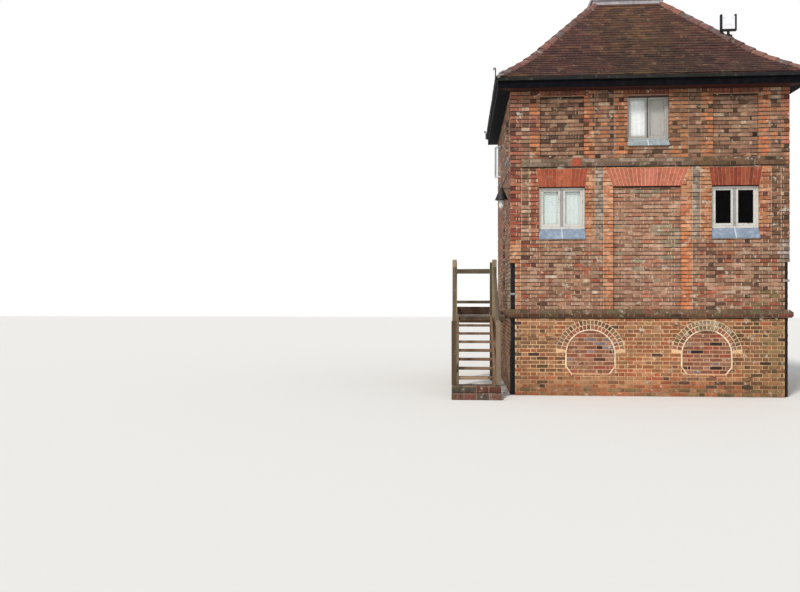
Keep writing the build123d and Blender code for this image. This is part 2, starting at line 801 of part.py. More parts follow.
def landing():
    """Deck boards over two cross bearers, from the outer posts to the wall."""
    left = STAIR_LEFT - STRINGER
    right = -HALF
    deck_under = FIRST_FLOOR_Z - DECK_THICK
    deck = block(left, right, LANDING_Y + NOSING, LANDING_END, deck_under, FIRST_FLOOR_Z)
    bearers = ((LANDING_Y + NOSING, FRONT_BEARER_HIGH), (LANDING_END - BEARER_WIDE, BEARER_HIGH))
    for y, high in bearers:
        deck += block(left, right, y, y + BEARER_WIDE, deck_under - high, deck_under)
    return deck


def post_at(side, y, low, high):
    inner = STAIR_X + side * (STAIR_WIDE / 2 + STRINGER)
    outer = inner + side * POST
    return block(min(inner, outer), max(inner, outer), y, y + POST, low, high)


def newels():
    return joined([post_at(side, STAIR_FOOT_Y - 2 * NOSING, BRICK_TOP, NEWEL_TOP_Z) for side in (-1, 1)])


def landing_posts(side):
    near = post_at(side, LANDING_Y + NOSING, 0, POST_TOP_Z)
    far = post_at(side, LANDING_END - POST, 0, POST_TOP_Z)
    if side > 0:
        bearers = landing()
        near -= bearers
        far -= bearers
    return joined([near, far])


def handrail(side):
    """Sloping rail from the foot post up to the landing post."""
    middle = STAIR_X + side * (STAIR_WIDE / 2 + STRINGER + POST / 2)
    y0, y1 = STAIR_FOOT_Y - 2 * NOSING + POST, LANDING_Y + NOSING
    z0, z1 = NEWEL_TOP_Z - 1.1 * HANDRAIL_HIGH, LANDING_RAIL_Z - RAIL_HIGH / 5
    outline = [(y0, z0), (y1, z1), (y1, z1 + HANDRAIL_HIGH), (y0, z0 + HANDRAIL_HIGH)]
    return long_plate(outline, middle - HANDRAIL_WIDE / 2, middle + HANDRAIL_WIDE / 2)


def rail_pair(x0, x1, y0, y1):
    """Top rail and middle rail of the landing, both level."""
    return [
        block(x0, x1, y0, y1, LANDING_RAIL_Z - RAIL_HIGH / 2, LANDING_RAIL_Z + RAIL_HIGH / 2),
        block(x0, x1, y0, y1, MID_RAIL_Z - MID_RAIL_HIGH / 2, MID_RAIL_Z + MID_RAIL_HIGH / 2),
    ]


def landing_end_rails():
    """Rails across the far end of the landing, with a kick board on the deck."""
    left, right = STAIR_LEFT - STRINGER, STAIR_RIGHT + STRINGER
    y = LANDING_END - (POST + RAIL_THICK) / 2
    rails = rail_pair(left, right, y, y + RAIL_THICK)
    rails.append(block(left, right, y, y + RAIL_THICK / 2, FIRST_FLOOR_Z, FIRST_FLOOR_Z + KICK_HIGH))
    return joined(rails)


def landing_side_rails():
    x = STAIR_LEFT - STRINGER - (POST + RAIL_THICK) / 2
    near, far = LANDING_Y + NOSING + POST, LANDING_END - POST
    return joined(rail_pair(x, x + RAIL_THICK, near, far))


# Lamps

def lantern():
    """Tapered metal hood on an arm from the left wall, with a sloping stay over it."""
    y = LANTERN_Y
    neck_z = LANTERN_Z + HOOD_HIGH
    pad = HOOD_NECK
    hood = Pos(LANTERN_X, y, LANTERN_Z + HOOD_HIGH / 2) * Cone(LANTERN_RADIUS, HOOD_NECK, HOOD_HIGH)
    cap = Pos(LANTERN_X, y, neck_z + HOOD_NECK / 2) * Cylinder(HOOD_NECK, HOOD_NECK)
    arm = block(LANTERN_X, -HALF, y - ARM / 2, y + ARM / 2, neck_z + ARM / 2, neck_z + 1.5 * ARM)
    plate = block(-HALF - PLATE, -HALF, y - pad, y + pad, neck_z - pad, neck_z + 2 * pad)
    top = (-HALF - PLATE / 2, y, neck_z + STAY_RISE)
    stay = Line((LANTERN_X, y, neck_z + HOOD_NECK - ARM / 4), top)
    rod = sweep(Plane(origin=stay @ 0, z_dir=stay % 0) * Rectangle(ARM * 0.7, ARM * 0.7), path=stay)
    eye = block(-HALF - PLATE, -HALF, y - pad / 2, y + pad / 2, top[2] - pad, top[2] + pad)
    whole = hood + cap + arm + plate + rod + eye
    return whole - block(-HALF, 0, y - pad, y + pad, LANTERN_Z, top[2] + 2 * pad)


def lantern_globe():
    """Opal glass turned to a rounded bowl under the hood."""
    r = GLOBE_RADIUS
    outline = [(0, 0), (r, 0), (r, -2.2 * r), (0.85 * r, -2.8 * r), (0.5 * r, -3.2 * r), (0, -3.3 * r)]
    face = make_face(Polyline(*[(a, 0, z) for a, z in outline], close=True))
    return Pos(LANTERN_X, LANTERN_Y, LANTERN_Z) * revolve(face, Axis.Z)


def hip_lamp_place():
    out = EAVES_HALF - HIP_LAMP_INSET
    return out, -out, roof_point(-out)[0]


def hip_lamp_bracket(hidden):
    """Saddle on the right front hip with a short post, a cross bar and two uprights."""
    x, y, z = hip_lamp_place()
    saddle = Pos(x, y, z) * Rot(0, 0, 45) * Box(SADDLE_LONG, SADDLE_WIDE, 2 * SADDLE_HIGH)
    post_top = z + SADDLE_HIGH + LAMP_POST_HIGH
    bar_top = post_top + LAMP_BAR
    half_wide = LAMP_WIDE / 2 + LAMP_BAR
    deep = LAMP_BAR
    post = block(
        x - LAMP_POST / 2, x + LAMP_POST / 2, y - LAMP_POST / 2, y + LAMP_POST / 2, z + SADDLE_HIGH, post_top
    )
    stand = saddle + post
    for solid in hidden:
        stand -= solid
    stand = stand.solids().sort_by(Axis.Z)[-1]
    whole = stand + block(x - half_wide, x + half_wide, y - deep, y + deep, post_top, bar_top)
    for side in (-1, 1):
        outer = x + side * half_wide
        inner = outer - side * LAMP_BAR
        whole += block(outer, inner, y - deep, y + deep, bar_top, bar_top + LAMP_HIGH + LAMP_BAR)
    return whole


def hip_lamp_panel():
    x, y, z = hip_lamp_place()
    low = z + SADDLE_HIGH + LAMP_POST_HIGH + LAMP_BAR
    half = LAMP_WIDE / 2
    return block(x - half, x + half, y - 0.8 * LAMP_BAR, y + 0.8 * LAMP_BAR, low, low + LAMP_HIGH)


def build_nodes():
    slopes = [roof_slope(quarter) for quarter in range(4)]
    hip = front_left_hip([slopes[0], slopes[3]])
    hips = [turned(hip, quarter) for quarter in range(4)]
    iron = hip_iron([hip, slopes[0], slopes[3]])
    nodes = {
        "front_wall": front_wall(),
        "back_wall": back_wall(),
        "right_wall": side_wall(1, door=False),
        "left_wall": side_wall(3, door=True),
        "plinth_course": plinth_course(),
        "plat_band": plat_band(),
        "front_window_arches": window_arches(0),
        "back_window_arches": window_arches(2),
        "panel_arch": panel_arch(),
        "blind_arches": blind_arches(),
        "blind_arch_fills": blind_arch_fills(),
        "corner_guards": corner_guards(),
        "first_floor": boarded_floor(FIRST_FLOOR_Z),
        "upper_floor": boarded_floor(UPPER_FLOOR_Z),
        "hip_tiles": joined(hips),
        "hip_irons": joined([turned(iron, quarter) for quarter in range(4)]),
        "roof_curb": roof_curb(),
        "lead_cap": lead_cap(),
        "lead_sills": lead_sills(),
        "front_windows": joined(front_windows()),
        "front_glass": joined(front_glass()),
        "back_windows": turned(joined(front_windows()), 2),
        "back_glass": turned(joined(front_glass()), 2),
        "left_windows": turned(joined(side_windows(window, OPEN_LEAF_ANGLE)), 3),
        "left_glass": turned(joined(side_windows(window_glass, OPEN_LEAF_ANGLE)), 3),
        "right_windows": turned(joined(side_windows(window)), 1),
        "right_glass": turned(joined(side_windows(window_glass)), 1),
        "door_frame": door_frame(),
        "door_leaf": door_leaf(),
        "brick_steps": brick_steps(),
        "stair_stringer_left": stringer(-1),
        "stair_stringer_right": stringer(1),
        "stair_treads": stair_treads(),
        "landing": landing(),
        "stair_newels": newels(),
        "landing_posts_left": landing_posts(-1),
        "landing_posts_right": landing_posts(1),
        "handrail_left": handrail(-1),
        "handrail_right": handrail(1),
        "landing_end_rails": landing_end_rails(),
        "landing_side_rails": landing_side_rails(),
        "lantern": lantern(),
        "lantern_globe": lantern_globe(),
        "hip_lamp_bracket": hip_lamp_bracket([slopes[0], slopes[1], hips[1]]),
        "hip_lamp_panel": hip_lamp_panel(),
    }
    for name, quarter in (("front", 0), ("right", 1), ("back", 2), ("left", 3)):
        nodes["roof_" + name] = slopes[quarter]
        nodes["eaves_" + name] = eaves_board(quarter)
    return nodes


os.makedirs("parts", exist_ok=True)
front_foot = Pos(0, HALF - WALL / 2, 0)
for name, shape in build_nodes().items():
    export_step(front_foot * shape, f"parts/{name}.step")
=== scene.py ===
from itertools import product
from math import asin, atan2, ceil, cos, exp, hypot, pi, radians, sin, sqrt, tan

import bpy
import numpy as np
from mathutils import Matrix, Vector


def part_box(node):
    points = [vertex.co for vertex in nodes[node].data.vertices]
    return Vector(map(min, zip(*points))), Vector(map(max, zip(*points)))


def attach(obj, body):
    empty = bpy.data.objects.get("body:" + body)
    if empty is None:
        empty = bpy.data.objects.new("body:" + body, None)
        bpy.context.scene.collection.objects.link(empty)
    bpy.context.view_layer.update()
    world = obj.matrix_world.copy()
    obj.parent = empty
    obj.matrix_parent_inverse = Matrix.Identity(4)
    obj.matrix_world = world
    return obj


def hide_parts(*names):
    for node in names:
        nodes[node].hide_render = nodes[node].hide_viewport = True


# Brick oast house: bricks, tiles, joinery and lead dressed over the solid model, in metres.
# Pieces are drawn round the middle of the plan, as if on the front, and turned to their side.

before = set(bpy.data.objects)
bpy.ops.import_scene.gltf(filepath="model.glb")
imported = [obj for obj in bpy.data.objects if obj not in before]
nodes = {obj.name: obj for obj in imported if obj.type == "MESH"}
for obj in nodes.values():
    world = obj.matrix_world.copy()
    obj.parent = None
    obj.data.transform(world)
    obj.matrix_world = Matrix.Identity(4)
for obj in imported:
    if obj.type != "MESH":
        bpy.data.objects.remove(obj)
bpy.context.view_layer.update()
chance = np.random.default_rng(1873)

front_low, front_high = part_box("front_wall")
HALF = front_high.x
MIDDLE_Y = (front_low.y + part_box("back_wall")[1].y) / 2

# Walls and brickwork
JOINT = 0.010
STRETCHER = 0.215
HEADER = 0.105
CLOSER = 0.045
PROUD = 0.008
FACE = -HALF - PROUD
BRICK_DEEP = 0.050
THIN_DEEP = 0.030
TAPER_WIDE = 0.072
SOLDIER_WIDE, SOLDIER_GAP = 0.075, 0.004
HEAD_BEARING = 0.080
RAGGED_FINE, RAGGED = 0.003, 0.006
RUN_EDGE = 0.003
LEAST_WIDE, LEAST_EDGE = 0.022, 0.004
BURNT_SHARE, BURNT, UPPER_LIGHT = 0.2, 0.34, 1.09
BEDDED = 0.100
PLINTH_UNDER = 1.500
PLINTH_TOP = 1.650
BAND_Z, BAND_TOP = 4.390, 4.540
BAND_LEFT, BAND_RIGHT = -2.400, 2.520
RED_PATCH = (-1.440, -1.270)
EAVES_Z = 5.850
# Bottom, top and number of courses of each stretch of wall
LOW_COURSES, PLINTH_COURSES = (0.0, PLINTH_UNDER, 20), (PLINTH_UNDER, PLINTH_TOP, 2)
MIDDLE_COURSES, BAND_COURSES = (PLINTH_TOP, BAND_Z, 37), (BAND_Z, BAND_TOP, 2)
UPPER_COURSES = (BAND_TOP, EAVES_Z, 17)
COURSES = (LOW_COURSES, MIDDLE_COURSES, BAND_COURSES, UPPER_COURSES)

# Openings and panels
LOW_X, LOW_WIDE, LOW_SILL, LOW_HEAD = 1.620, 0.880, 3.000, 4.010
UP_WIDE, UP_SILL, UP_HEAD = 0.780, 4.770, 5.740
SIDE_X, SIDE_SILL, SIDE_HEAD = 1.620, 4.620, 5.590
LOW_APRON, UP_APRON = 0.195, 0.130
DOOR_X, DOOR_WIDE, DOOR_FOOT, DOOR_HEAD = 0.400, 0.820, 1.480, 3.400
PANEL_X, PANEL_WIDE, PANEL_DEEP = -0.020, 1.280, 0.050
UP_PANEL_X, UP_PANEL_WIDE, UP_PANEL_Z, UP_PANEL_DEEP = 1.620, 0.840, 4.570, 0.040
PANEL_FIT, UP_SHADED = 0.008, 0.036
ARCH_HIGH, WINDOW_SKEW, PANEL_SKEW = 0.335, 0.050, 0.135
BLIND_X, BLIND_RADIUS, SPRING_Z, BLIND_FOOT = 1.085, 0.465, 0.800, 0.420
KNEE_Z, SPLAY = 0.563, 0.110
RING_HIGH, RING_START, RING_OUTER = 0.095, 9.0, 0.655
FILL_BACK, RING_JOINT = 0.014, 0.016
GUARD, GUARD_HIGH = 0.085, 2.550
FRAME_FRONT, FRAME_BACK, CURTAIN_Y = -HALF + 0.055, -HALF + 0.145, -HALF + 0.128
DOOR_BREAK = 0.480

# Roof
TILE_FOOT_Y, TILE_FOOT_Z = -2.890, 6.053
FOOT_PITCH, MAIN_PITCH = radians(37.0), radians(46.4)
FOOT_RUN, BELL_RADIUS, TOP_HALF = 0.400, 4.000, 0.735
TILE_WIDE, TILE_GAUGE, TILE_LONG, TILE_THICK = 0.165, 0.100, 0.132, 0.012
TAIL_LIFT, HEAD_LIFT, HIP_CLEAR = 0.026, 0.013, 0.020
HIP_TILE_LONG, HIP_TILE_LAP, HIP_TILE_RADIUS, HIP_TILE_SINK, HIP_FOOT = 0.330, 0.060, 0.115, 0.074, 0.125


# Colours. Each row of a palette is a tone's share of the bricks or boards, and its red, green and blue.

def shade(red, green, blue):
    """Light values of a colour that is written as it looks, from 0 to 255."""
    def light(value):
        value /= 255
        return value / 12.92 if value <= 0.04045 else ((value + 0.055) / 1.055) ** 2.4
    return (light(red), light(green), light(blue))


GROUND = [
    (5, 162, 112, 78), (4, 174, 128, 92), (4, 152, 96, 64), (3, 166, 98, 66), (1.5, 134, 96, 70),
    (0.5, 94, 68, 54),
]
GROUND_RED = [(4, 174, 104, 70), (4, 162, 92, 62), (3, 180, 124, 88), (1, 120, 78, 58)]
GROUND_DULL = [(4, 138, 100, 70), (4, 124, 84, 58), (3, 156, 110, 76), (2, 96, 72, 50), (1, 70, 54, 42)]
MOSSY = [(4, 132, 106, 74), (3, 114, 94, 64), (3, 146, 116, 82), (1, 88, 76, 54)]
MIDDLE = [
    (5, 168, 124, 100), (4, 154, 110, 88), (3, 180, 142, 118), (2, 136, 96, 76), (0.7, 192, 170, 148),
    (0.6, 98, 68, 56),
]
MIDDLE_RED = [(4, 174, 104, 78), (4, 158, 90, 68), (2, 188, 130, 104), (1, 112, 68, 54)]
MIDDLE_DULL = [(4, 130, 92, 71), (3, 108, 79, 60), (2, 152, 110, 87), (1, 80, 61, 48)]
CRIMSON = [(4, 162, 88, 68), (4, 146, 74, 60), (3, 174, 112, 86), (1, 112, 62, 52)]
ORANGE = [(5, 198, 132, 92), (4, 186, 114, 78), (3, 208, 150, 114), (1, 164, 100, 70)]
ORANGE_HOT = [(4, 214, 132, 88), (3, 198, 112, 74), (2, 226, 154, 108)]
ORANGE_PALE = [(5, 214, 144, 104), (4, 202, 126, 90), (3, 222, 162, 128)]
GREY = [(4, 156, 134, 118), (3, 138, 122, 112), (2, 184, 166, 154), (1, 108, 92, 82)]
PANEL = [
    (5, 176, 132, 108), (4, 162, 118, 94), (3, 192, 152, 128), (2, 142, 104, 84), (2, 178, 120, 96),
    (1, 158, 142, 118),
]
UPPER = [
    (5, 152, 114, 92), (4, 136, 98, 80), (3, 168, 130, 106), (2, 112, 80, 64), (1, 190, 162, 136),
    (1, 84, 62, 50),
]
UPPER_ORANGE = [(4, 194, 122, 84), (3, 178, 110, 76), (2, 166, 122, 92), (1, 146, 90, 68)]
UPPER_RED = [(4, 170, 104, 84), (3, 154, 92, 72), (2, 180, 126, 104), (1, 108, 74, 62)]
UPPER_WARM = [(4, 170, 116, 82), (3, 152, 104, 76), (2, 188, 120, 80), (2, 122, 88, 66)]
SOLDIER = [(4, 156, 86, 66), (3, 136, 74, 58), (2, 172, 104, 78), (1, 118, 70, 54)]
LEFT_SIDE = [(4, 136, 102, 84), (4, 120, 88, 72), (3, 148, 116, 96), (1, 130, 76, 60), (1, 94, 70, 56)]
RUBBED = [(3, 166, 82, 58), (3, 150, 74, 52), (2, 176, 94, 66)]
RUBBED_DARK = [(3, 144, 68, 47), (3, 128, 60, 42), (2, 152, 80, 56)]
RUBBED_PALE = [(4, 188, 112, 88), (3, 178, 104, 82), (2, 192, 116, 96)]
RING_RED = [(4, 164, 100, 76), (3, 146, 86, 66), (2, 176, 118, 90), (1, 100, 70, 54)]
RING = [(4, 142, 104, 78), (3, 122, 88, 64), (3, 158, 118, 90), (1, 168, 98, 74), (1, 92, 68, 52)]
PATCHED = [(4, 160, 138, 114), (3, 138, 116, 94), (2, 178, 158, 132)]
FILL = [
    (5, 146, 98, 76), (3, 128, 80, 62), (3, 158, 116, 92), (1.5, 150, 78, 60), (1, 128, 114, 112),
    (1, 80, 54, 44), (0.7, 48, 34, 30),
]
PLINTH = [(5, 98, 66, 48), (4, 88, 58, 43), (2, 112, 76, 56), (1, 118, 64, 52), (1, 74, 54, 42)]
PLINTH_CAP = [(5, 112, 88, 70), (4, 100, 78, 60), (2, 128, 100, 80), (1, 100, 90, 66), (1, 124, 80, 66)]
BAND = [(5, 140, 112, 98), (4, 122, 98, 84), (3, 158, 136, 120), (1, 102, 78, 68)]
BAND_PALE = [*BAND, (3, 184, 176, 150)]
STEP = [(4, 114, 68, 58), (3, 96, 62, 54), (2, 124, 86, 74), (1, 92, 80, 72)]
TILES = [
    (5, 86, 52, 46), (5, 76, 48, 44), (4, 94, 58, 52), (3, 70, 44, 44), (2, 106, 68, 56), (1, 60, 40, 40),
]
HIP_TILES = [(4, 134, 95, 86), (3, 120, 86, 80), (2, 146, 102, 88), (2, 116, 96, 94), (1, 102, 74, 70)]
MORTAR_PALE = (228, 200, 164)


def pick(palette, spread=0.13):
    """One tone from a palette, a little lighter or darker each time."""
    weights = np.array([row[0] for row in palette], float)
    chosen = palette[chance.choice(len(palette), p=weights / weights.sum())][1:]
    light = chance.uniform(1 - spread, 1 + spread)
    return tuple(c * light * chance.uniform(0.97, 1.03) for c in shade(*chosen))


def lit(tone, light):
    """The tone made lighter or darker."""
    return tuple(c * light for c in tone)


# Gathering many small solids into one piece

def turn(points, quarter):
    """Points drawn on the front, moved to a side and to their place: 1 right, 2 back, 3 left."""
    placed = np.array(points, float).reshape(-1, 3)
    c, s = ((1, 0), (0, 1), (-1, 0), (0, -1))[quarter]
    x, y = placed[:, 0].copy(), placed[:, 1].copy()
    placed[:, 0] = c * x - s * y
    placed[:, 1] = s * x + c * y + MIDDLE_Y
    return placed


def new_mesh(name, points, faces, material, smooth=False):
    mesh = bpy.data.meshes.new(name)
    mesh.from_pydata(points, [], faces)
    mesh.polygons.foreach_set("use_smooth", [smooth] * len(faces))
    mesh.materials.append(material)
    mesh.update()
    return mesh


def put_up(name, data):
    made = bpy.data.objects.new(name, data)
    bpy.context.scene.collection.objects.link(made)
    return made


class Gathered:
    """Many small closed solids in one mesh, each with its own tone and its own grain."""

    def __init__(self):
        self.points, self.faces, self.tones, self.grain = [], [], [], []

    def add(self, points, faces, tone, grain=None):
        start = len(self.points)
        points = [tuple(p) for p in points]
        self.points += points
        self.faces += [tuple(start + i for i in face) for face in faces]
        self.tones += [tuple(tone) + (1.0,)] * len(points)
        self.grain += [tuple(g) for g in (points if grain is None else grain)]

    def take(self, other):
        start = len(self.points)
        self.points += other.points
        self.faces += [tuple(start + i for i in face) for face in other.faces]
        self.tones += other.tones
        self.grain += other.grain

    def turned(self, quarter):
        self.points = [tuple(p) for p in turn(self.points, quarter)]
        return self

    def piece(self, name, material, slot, stands_for=(), smooth=False):
        mesh = new_mesh(name, self.points, self.faces, material, smooth)
        tone = mesh.attributes.new("tone", "FLOAT_COLOR", "POINT")
        tone.data.foreach_set("color", np.array(self.tones, np.float32).ravel())
        grain = mesh.attributes.new("grain", "FLOAT_VECTOR", "POINT")
        grain.data.foreach_set("vector", np.array(self.grain, np.float32).ravel())
        made = put_up(name, mesh)
        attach(made, "root")
        if stands_for:
            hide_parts(*stands_for)

    def piece_at(self, quarter, name, slot="brick", stands_for=(), smooth=False):
        """Turns what was drawn on the front to its side, and makes it a piece in its slot's own finish."""
        self.turned(quarter).piece(name, FINISH_OF[slot], slot, stands_for, smooth)


def sleeve(n, rings, backwards=False):
    """The faces of a closed solid that is built of rings of n points each."""
    first, last = tuple(range(n)), tuple(range((rings - 1) * n, rings * n))
    faces = [first, last[::-1]] if backwards else [first[::-1], last]
    for k in range(0, (rings - 1) * n, n):
        for i in range(n):
            a, b = k + i, k + (i + 1) % n
            faces.append((a, a + n, b + n, b) if backwards else (a, b, b + n, a + n))
    return faces


def flipped(faces):
    return [tuple(reversed(face)) for face in faces]


def own_place(points, reach=50):
    """The points, moved far off in the grain, so that no two solids carry the same marks."""
    shift = chance.uniform(-reach, reach, 3)
    return [(x + shift[0], y + shift[1], z + shift[2]) for x, y, z in points]


# Outlines in the wall's plane, as (x, z) points that run anticlockwise

def keep_left(outline, a, b):
    """The part of a convex outline on the left of the line from a to b."""
    dx, dz = b[0] - a[0], b[1] - a[1]
    side = [dx * (z - a[1]) - dz * (x - a[0]) for x, z in outline]
    kept = []
    for i, (x, z) in enumerate(outline):
        j = (i + 1) % len(outline)
        if side[i] >= 0:
            kept.append((x, z))
        if side[i] * side[j] < 0:
            t = side[i] / (side[i] - side[j])
            kept.append((x + t * (outline[j][0] - x), z + t * (outline[j][1] - z)))
    return kept if len(kept) > 2 else []


def size_of(outline):
    xs, zs = [p[0] for p in outline], [p[1] for p in outline]
    return min(xs), max(xs), min(zs), max(zs)


def big_enough(outline):
    """Whether a cut brick is worth laying."""
    if len(outline) < 3:
        return False
    x0, x1, z0, z1 = size_of(outline)
    pairs = zip([outline[-1], *outline], outline)
    area = 0.5 * abs(sum(a[0] * b[1] - b[0] * a[1] for a, b in pairs))
    return x1 - x0 > LEAST_WIDE and z1 - z0 > LEAST_WIDE * 0.7 and area > 0.35 * (x1 - x0) * (z1 - z0)


def tidy(outline):
    """Leaves out corners that nearly meet."""
    kept = []
    for p in outline:
        if not kept or hypot(p[0] - kept[-1][0], p[1] - kept[-1][1]) > LEAST_EDGE:
            kept.append(p)
    if len(kept) > 1 and hypot(kept[0][0] - kept[-1][0], kept[0][1] - kept[-1][1]) <= LEAST_EDGE:
        kept.pop()
    return kept


def shrunk(outline, by):
    """The outline drawn in by the same margin on every side."""
    n = len(outline)
    made = []
    for i in range(n):
        before, here, after = outline[i - 1], outline[i], outline[(i + 1) % n]
        a = (here[0] - before[0], here[1] - before[1])
        b = (after[0] - here[0], after[1] - here[1])
        la, lb = hypot(*a) or 1, hypot(*b) or 1
        na, nb = (-a[1] / la, a[0] / la), (-b[1] / lb, b[0] / lb)
        share = max(0.35, 1 + na[0] * nb[0] + na[1] * nb[1])
        made.append((here[0] + by * (na[0] + nb[0]) / share, here[1] + by * (na[1] + nb[1]) / share))
    return made


def middle_of(outline):
    return sum(p[0] for p in outline) / len(outline), sum(p[1] for p in outline) / len(outline)


def box_outline(x0, x1, z0, z1):
    return [(x0, z0), (x1, z0), (x1, z1), (x0, z1)]


def skewed_outline(x, wide, skew, z0, high):
    low, top = wide / 2, wide / 2 + skew
    return [(x - low, z0), (x + low, z0), (x + top, z0 + high), (x - top, z0 + high)]


def hole(corners, grow=0.0):
    """A convex hole in the brickwork. Its upright sides are cut first, so bricks end against them."""
    corners = shrunk(corners, -grow) if grow else corners
    edges = [(corners[i], corners[(i + 1) % len(corners)]) for i in range(len(corners))]
    edges.sort(key=lambda e: -abs(e[1][1] - e[0][1]))
    return {"edges": edges, "size": size_of(corners)}


def blind_corners(x, grow=0.0):
    """The straight part of a closed arch's opening, which narrows towards its foot."""
    left, right = x - BLIND_RADIUS - grow, x + BLIND_RADIUS + grow
    top, foot = SPRING_Z + 0.12, BLIND_FOOT - grow
    left_side = [(left, top), (left, KNEE_Z), (left + SPLAY, foot)]
    return left_side + [(right - SPLAY, foot), (right, KNEE_Z), (right, top)]


def around(outlines, gap):
    """What is left of the outlines outside a hole."""
    gx0, gx1, gz0, gz1 = gap["size"]
    made = []
    for outline in outlines:
        x0, x1, z0, z1 = size_of(outline)
        if x1 <= gx0 or x0 >= gx1 or z1 <= gz0 or z0 >= gz1:
            made.append(outline)
            continue
        rest = outline
        for a, b in gap["edges"]:
            made.append(keep_left(rest, b, a))
            rest = keep_left(rest, a, b)
            if not rest:
                break
    return [o for o in made if big_enough(o)]


def tangent(centre, radius, towards):
    """A line that touches a circle on the side of a point, as two points with the circle on the left."""
    dx, dz = towards[0] - centre[0], towards[1] - centre[1]
    away = hypot(dx, dz) or 1
    dx, dz = dx / away, dz / away
    p = (centre[0] + radius * dx, centre[1] + radius * dz)
    return p, (p[0] - dz, p[1] + dx)


def clear_of_ring(outlines, centre, radius):
    """The outlines, cut to a straight edge where they meet the upper half of a ring."""
    made = []
    for outline in outlines:
        mx, mz = middle_of(outline)
        if hypot(mx - centre[0], mz - centre[1]) > radius + 0.25 or mz < centre[1] + 0.05:
            made.append(outline)
            continue
        a, b = tangent(centre, radius, (mx, mz))
        made.append(keep_left(outline, b, a))
    return [o for o in made if big_enough(o)]


# Bricks

def brick(into, outline, front, deep, tone, edge=0.004, wobble=0.0018):
    """A brick with worn front edges, from its outline on the wall's face."""
    outline = tidy(outline)
    if len(outline) < 3:
        return
    rim = [(x + chance.uniform(-wobble, wobble), z + chance.uniform(-wobble, wobble)) for x, z in outline]
    out = front + chance.uniform(-wobble, wobble)
    points = [(x, out, z) for x, z in shrunk(rim, edge)]
    points += [(x, y, z) for y in (out + edge * 0.8, front + deep) for x, z in rim]
    into.add(points, sleeve(len(rim), 3, True), tone, own_place(points))


def flemish(wide, odd):
    """Where the stretchers and headers of one course begin and end, between two corners."""
    pairs = max(1, round((wide - STRETCHER) / (STRETCHER + HEADER + 2 * JOINT)))
    plain = [STRETCHER, HEADER] * pairs + [STRETCHER]
    total = sum(plain) + JOINT * (len(plain) - 1)
    if odd:
        plain = [HEADER, CLOSER] + [STRETCHER, HEADER] * (pairs - 1) + [STRETCHER, CLOSER, HEADER]
    scale = (wide + JOINT) / (total + JOINT)
    spans, x = [], -wide / 2
    for unit in plain:
        spans.append((x, x + unit * scale + JOINT * (scale - 1)))
        x += (unit + JOINT) * scale
    return spans


def course_levels(zones):
    """Each course's bottom and top, with half a joint off at both. The lowest storey's joints are wide."""
    made = []
    for z0, z1, count in zones:
        step = (z1 - z0) / count
        gap = 0.0075 if z1 <= PLINTH_UNDER else 0.0055
        made += [(z0 + i * step + gap, z0 + (i + 1) * step - gap) for i in range(count)]
    return made


WALL_LEVELS = course_levels(COURSES)


def courses_between(low, high):
    """The wall's own courses on a panel, the lowest and highest cut to it."""
    cut = [(max(z0, low + 0.002), min(z1, high)) for z0, z1 in WALL_LEVELS]
    return [(z0, z1) for z0, z1 in cut if z1 - z0 > 0.02]


def at_seams(spans, seams):
    """Bricks cut or stretched to straight upright joints, where one kind of brick meets another."""
    made = []
    for x0, x1 in spans:
        for seam in seams:
            if abs(x0 - seam) < 0.035:
                x0 = seam + JOINT / 2
            elif abs(x1 - seam) < 0.046:
                x1 = seam - JOINT / 2
            elif x0 < seam < x1:
                made.append((x0, seam - JOINT / 2))
                x0 = seam + JOINT / 2
        made.append((x0, x1))
    return made


def patchy(tone, x, z):
    """A tone that drifts a little lighter and darker over the wall, as the kiln batches did."""
    return lit(tone, 1 + 0.10 * sin(3.6 * x + 1.7 * sin(2.2 * z) + 0.8) * sin(4.6 * z + 1.9 * sin(1.9 * x)))


def plain_ends(z):
    return "end", "end"


def owned_ends(z):
    return "own", "own"


def lay_bricks(
    into, x_middle, wide, levels, holes, palette_at, front, rings=(), ends_at=plain_ends, deep=BRICK_DEEP,
    seams_at=None, shift=0,
):
    """Lays a face of brickwork, cutting its bricks to the openings.

    ends_at says what happens at the left and right ends: "own" bricks stand round the corner,
    "skip" leaves the corner brick to the next wall, "end" just ends.
    """
    for i, (z0, z1) in enumerate(levels):
        ragged = RAGGED_FINE if z0 < PLINTH_UNDER else RAGGED
        spans = flemish(wide, (i + shift) % 2 == 1)
        if seams_at:
            spans = at_seams(spans, seams_at(z0))
        left_end, right_end = ends_at(z0)
        for k, (x0, x1) in enumerate(spans):
            end = left_end if k == 0 else right_end if k == len(spans) - 1 else None
            if end == "skip":
                continue
            x0, x1 = x0 + x_middle, x1 + x_middle
            back = deep
            if end == "own":
                back = HEADER if x1 - x0 > 0.16 else STRETCHER * 0.97
                if k == 0:
                    x0 -= PROUD
                else:
                    x1 += PROUD
            x0, x1 = x0 + chance.uniform(0, ragged), x1 - chance.uniform(0, ragged)
            low, high = z0 + chance.uniform(-0.001, 0.0015), z1 - chance.uniform(-0.001, 0.0015)
            outlines = [box_outline(x0, x1, low, high)]
            for gap in holes:
                outlines = around(outlines, gap)
            for centre, radius in rings:
                outlines = clear_of_ring(outlines, centre, radius)
            for outline in outlines:
                mx = middle_of(outline)[0]
                tone = patchy(pick(palette_at(mx, (z0 + z1) / 2)), mx, z0)
                if z0 > BAND_TOP:
                    burnt = x1 - x0 < 0.13 and chance.random() < BURNT_SHARE
                    tone = lit(tone, BURNT if burnt else UPPER_LIGHT)
                brick(into, outline, front, back, tone)


